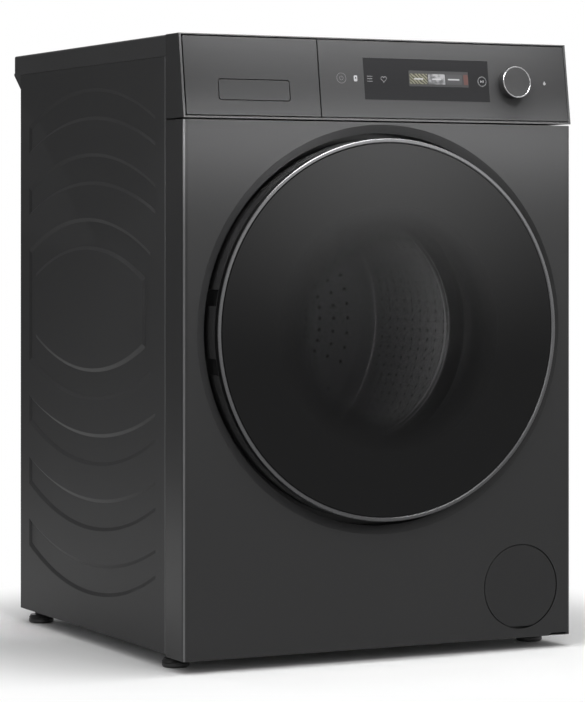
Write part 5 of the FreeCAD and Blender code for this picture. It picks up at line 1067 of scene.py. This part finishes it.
# metres; a lamp has its place, what it faces, its size, its power in watts and its spread in degrees
studio = {
    "floor": {"half": 14.0, "back": 9.0, "curve": 2.5, "steps": 12},
    "world": 0.5, "shadow": (0.4, 0.72),  # the floor's own shading fades to white over these radii
    "lamps": {
        "fascia_top": ((0.0, -0.36, 0.93), (0.0, -0.33, 0.3), (0.66, 0.03), 3.5, 180),
        "front_top": ((0.0, -0.50, 0.90), (0.0, -0.30, 0.708), (0.9, 0.04), 0.82, 28),
        "front_wash": ((0.0, -1.6, 1.9), (0.0, -0.3, 0.3), (1.0, 0.4), 3.6, 120),
        "overhead": ((0.2, -0.2, 3.0), (0, 0, 0.4), (2.4, 1.8), 18, 180),
        "left_front": ((-1.5, -1.75, 1.2), (-0.3, -0.3, 0.6), (0.04, 1.9), 9, 180),
        "left_rear": ((-1.0, 1.5, 1.2), (-0.3, 0.1, 0.6), (0.3, 1.5), 3.4, 180),
        "drum_lamp": ((-0.12, 0.04, 0.49), (0.22, -0.05, 0.45), (0.08, 0.08), 0.15, 84),
    },
    "card": {"middle": (0.62, -1.47), "facing": (-0.478, 0.878), "width": 1.6, "low": 0.3, "high": 1.1,
             "fadeIn": (0.33, 0.74), "fadeOut": (0.8, 0.95), "fadeAcross": 0.55, "strength": 6.6},
    "flag": {"middle": (-1.1, 0.9), "facing": (0.8, -0.6), "width": 2.4, "low": 0.05, "high": 1.9},
    "cardSteps": 12, "cardBow": 0.4,  # how many strips a card has, and how far its ends come forward
}


def buildFloor(shape):
    # one sheet that runs back and turns up into the backdrop
    half, back, curve, steps = studio["floor"].values()
    section = [(-half, 0), (back - curve, 0)]
    for n in range(1, steps + 1):
        turn = math.radians(90 * n / steps)
        section.append((back - curve + curve * math.sin(turn), curve - curve * math.cos(turn)))
    section.append((back, half))
    left, right = [[shape.verts.new((side, y, z)) for y, z in section] for side in (-half, half)]
    for n in range(len(section) - 1):
        shape.faces.new((left[n], right[n], right[n + 1], left[n + 1]))


def buildCard(shape, card):
    # an upright sheet, slightly curved towards the machine
    outward = Vector((*card["facing"], 0)).normalized()
    across = Vector((outward.y, -outward.x, 0))
    steps, bow = studio["cardSteps"], studio["cardBow"]
    rows = []
    for n in range(steps + 1):
        share = n / steps - 0.5
        foot = Vector((*card["middle"], 0)) + across * share * card["width"]
        foot = foot + outward * share * share * bow
        rows.append([shape.verts.new(foot + Vector((0, 0, z))) for z in (card["low"], card["high"])])
    for here, there in zip(rows, rows[1:]):
        shape.faces.new((here[0], there[0], there[1], here[1]))


def seenWhite(finish):
    # 1 where the camera, a reflection or a clear pane sees it
    path = finish.node("LightPath", {}, {}, "Is Camera Ray")
    either = path.math("MAXIMUM", path, path.out("Is Glossy Ray"))
    return path.math("MAXIMUM", either, path.out("Is Transmission Ray"))


def blended(finish, mask, first, second):
    # the first shader where the mask is 0, the second where it is 1
    blend = finish.node("MixShader", {}, {0: mask, 1: first, 2: second})
    joinSocket(finish.tree, finish.tree.nodes["Material Output"].inputs["Surface"], blend)
    return finish.material


def stageFinish(name):
    # the floor keeps the shadow and stays white away from it
    stage = Finish(name, rough=0.9, specular=0.0)
    cloud = stage.noise(0.8, 3.0)
    stage.feed(color=stage.mixed(cloud, (0.9, 0.9, 0.9), (0.92, 0.92, 0.92)))
    x, y = stage.split()[:2]
    away = ((x * x + y * y) ** 0.5).ramp(*studio["shadow"])
    glow = stage.node("Emission", {}, {"Color": (1, 1, 1), "Strength": 1.0})
    return blended(stage, seenWhite(stage) * away, Field(stage, stage.shader.outputs[0]), glow)


def cardFinish(name, sheet):
    # a glowing card that fades out towards its edges
    card = Finish(name, specular=0.0)
    x, y, z = card.split()
    outward, middle = Vector(sheet["facing"]), Vector(sheet["middle"])
    aside = abs((x - middle.x) * outward.y - (y - middle.y) * outward.x)
    seen = z.ramp(*sheet["fadeIn"]) * z.ramp(*sheet["fadeOut"], 1, 0)
    seen = seen * aside.ramp(0, sheet["fadeAcross"], 1, 0)
    glow = card.node("Emission", {}, {"Color": (1, 1, 1), "Strength": sheet["strength"]})
    return blended(card, seen, card.node("BsdfTransparent", {}, {}), glow)


finishes["stage"] = stageFinish("studio_floor")
finishes["card"] = cardFinish("light_card", studio["card"])
finishes["flag"] = mouldedRubber("grey_flag", 0.22, 0.9)
floor = makePiece("floor", buildFloor, "stage")
card = makePiece("light_card", lambda shape: buildCard(shape, studio["card"]), "card")
flag = makePiece("grey_flag", lambda shape: buildCard(shape, studio["flag"]), "flag")
for sheet in (card, flag):
    sheet.visible_camera = False
    sheet.visible_shadow = False
card.visible_diffuse = False  # it shows in reflections only

world = bpy.data.worlds.new("studio")
bpy.context.scene.world = world
air = Finish("studio", world)
ground = air.tree.nodes["Background"]
joinSocket(air.tree, ground.inputs["Color"], (1, 1, 1))
joinSocket(air.tree, ground.inputs["Strength"], seenWhite(air).ramp(0, 1, studio["world"], 1.0))

for name, (place, target, size, power, spread) in studio["lamps"].items():
    light = bpy.data.lights.new(name, "AREA")
    light.shape = "RECTANGLE"
    light.size, light.size_y = size
    light.energy = power
    light.spread = math.radians(spread)
    lamp = bpy.data.objects.new(name, light)
    lamp.location = place
    lamp.rotation_euler = (Vector(target) - Vector(place)).to_track_quat("-Z", "Y").to_euler()
    lamp.visible_camera = False
    bpy.context.scene.collection.objects.link(lamp)

# metres, millimetres for the lens and the sensor, and degrees; level, with a shift instead of a tilt
view = {"place": (-1.8753, -3.7744, 0.5921), "turn": -26.54, "lens": 148.1, "sensor": 36,
        "shift": -0.1766}
camera = bpy.data.cameras.new("camera")
camera.lens = view["lens"]
camera.sensor_width = view["sensor"]
camera.shift_y = view["shift"]
cameraObject = bpy.data.objects.new("camera", camera)
cameraObject.location = view["place"]
cameraObject.rotation_euler = (math.radians(90), 0, math.radians(view["turn"]))
bpy.context.scene.collection.objects.link(cameraObject)
bpy.context.scene.camera = cameraObject
bpy.context.scene.view_settings.view_transform = "Standard"
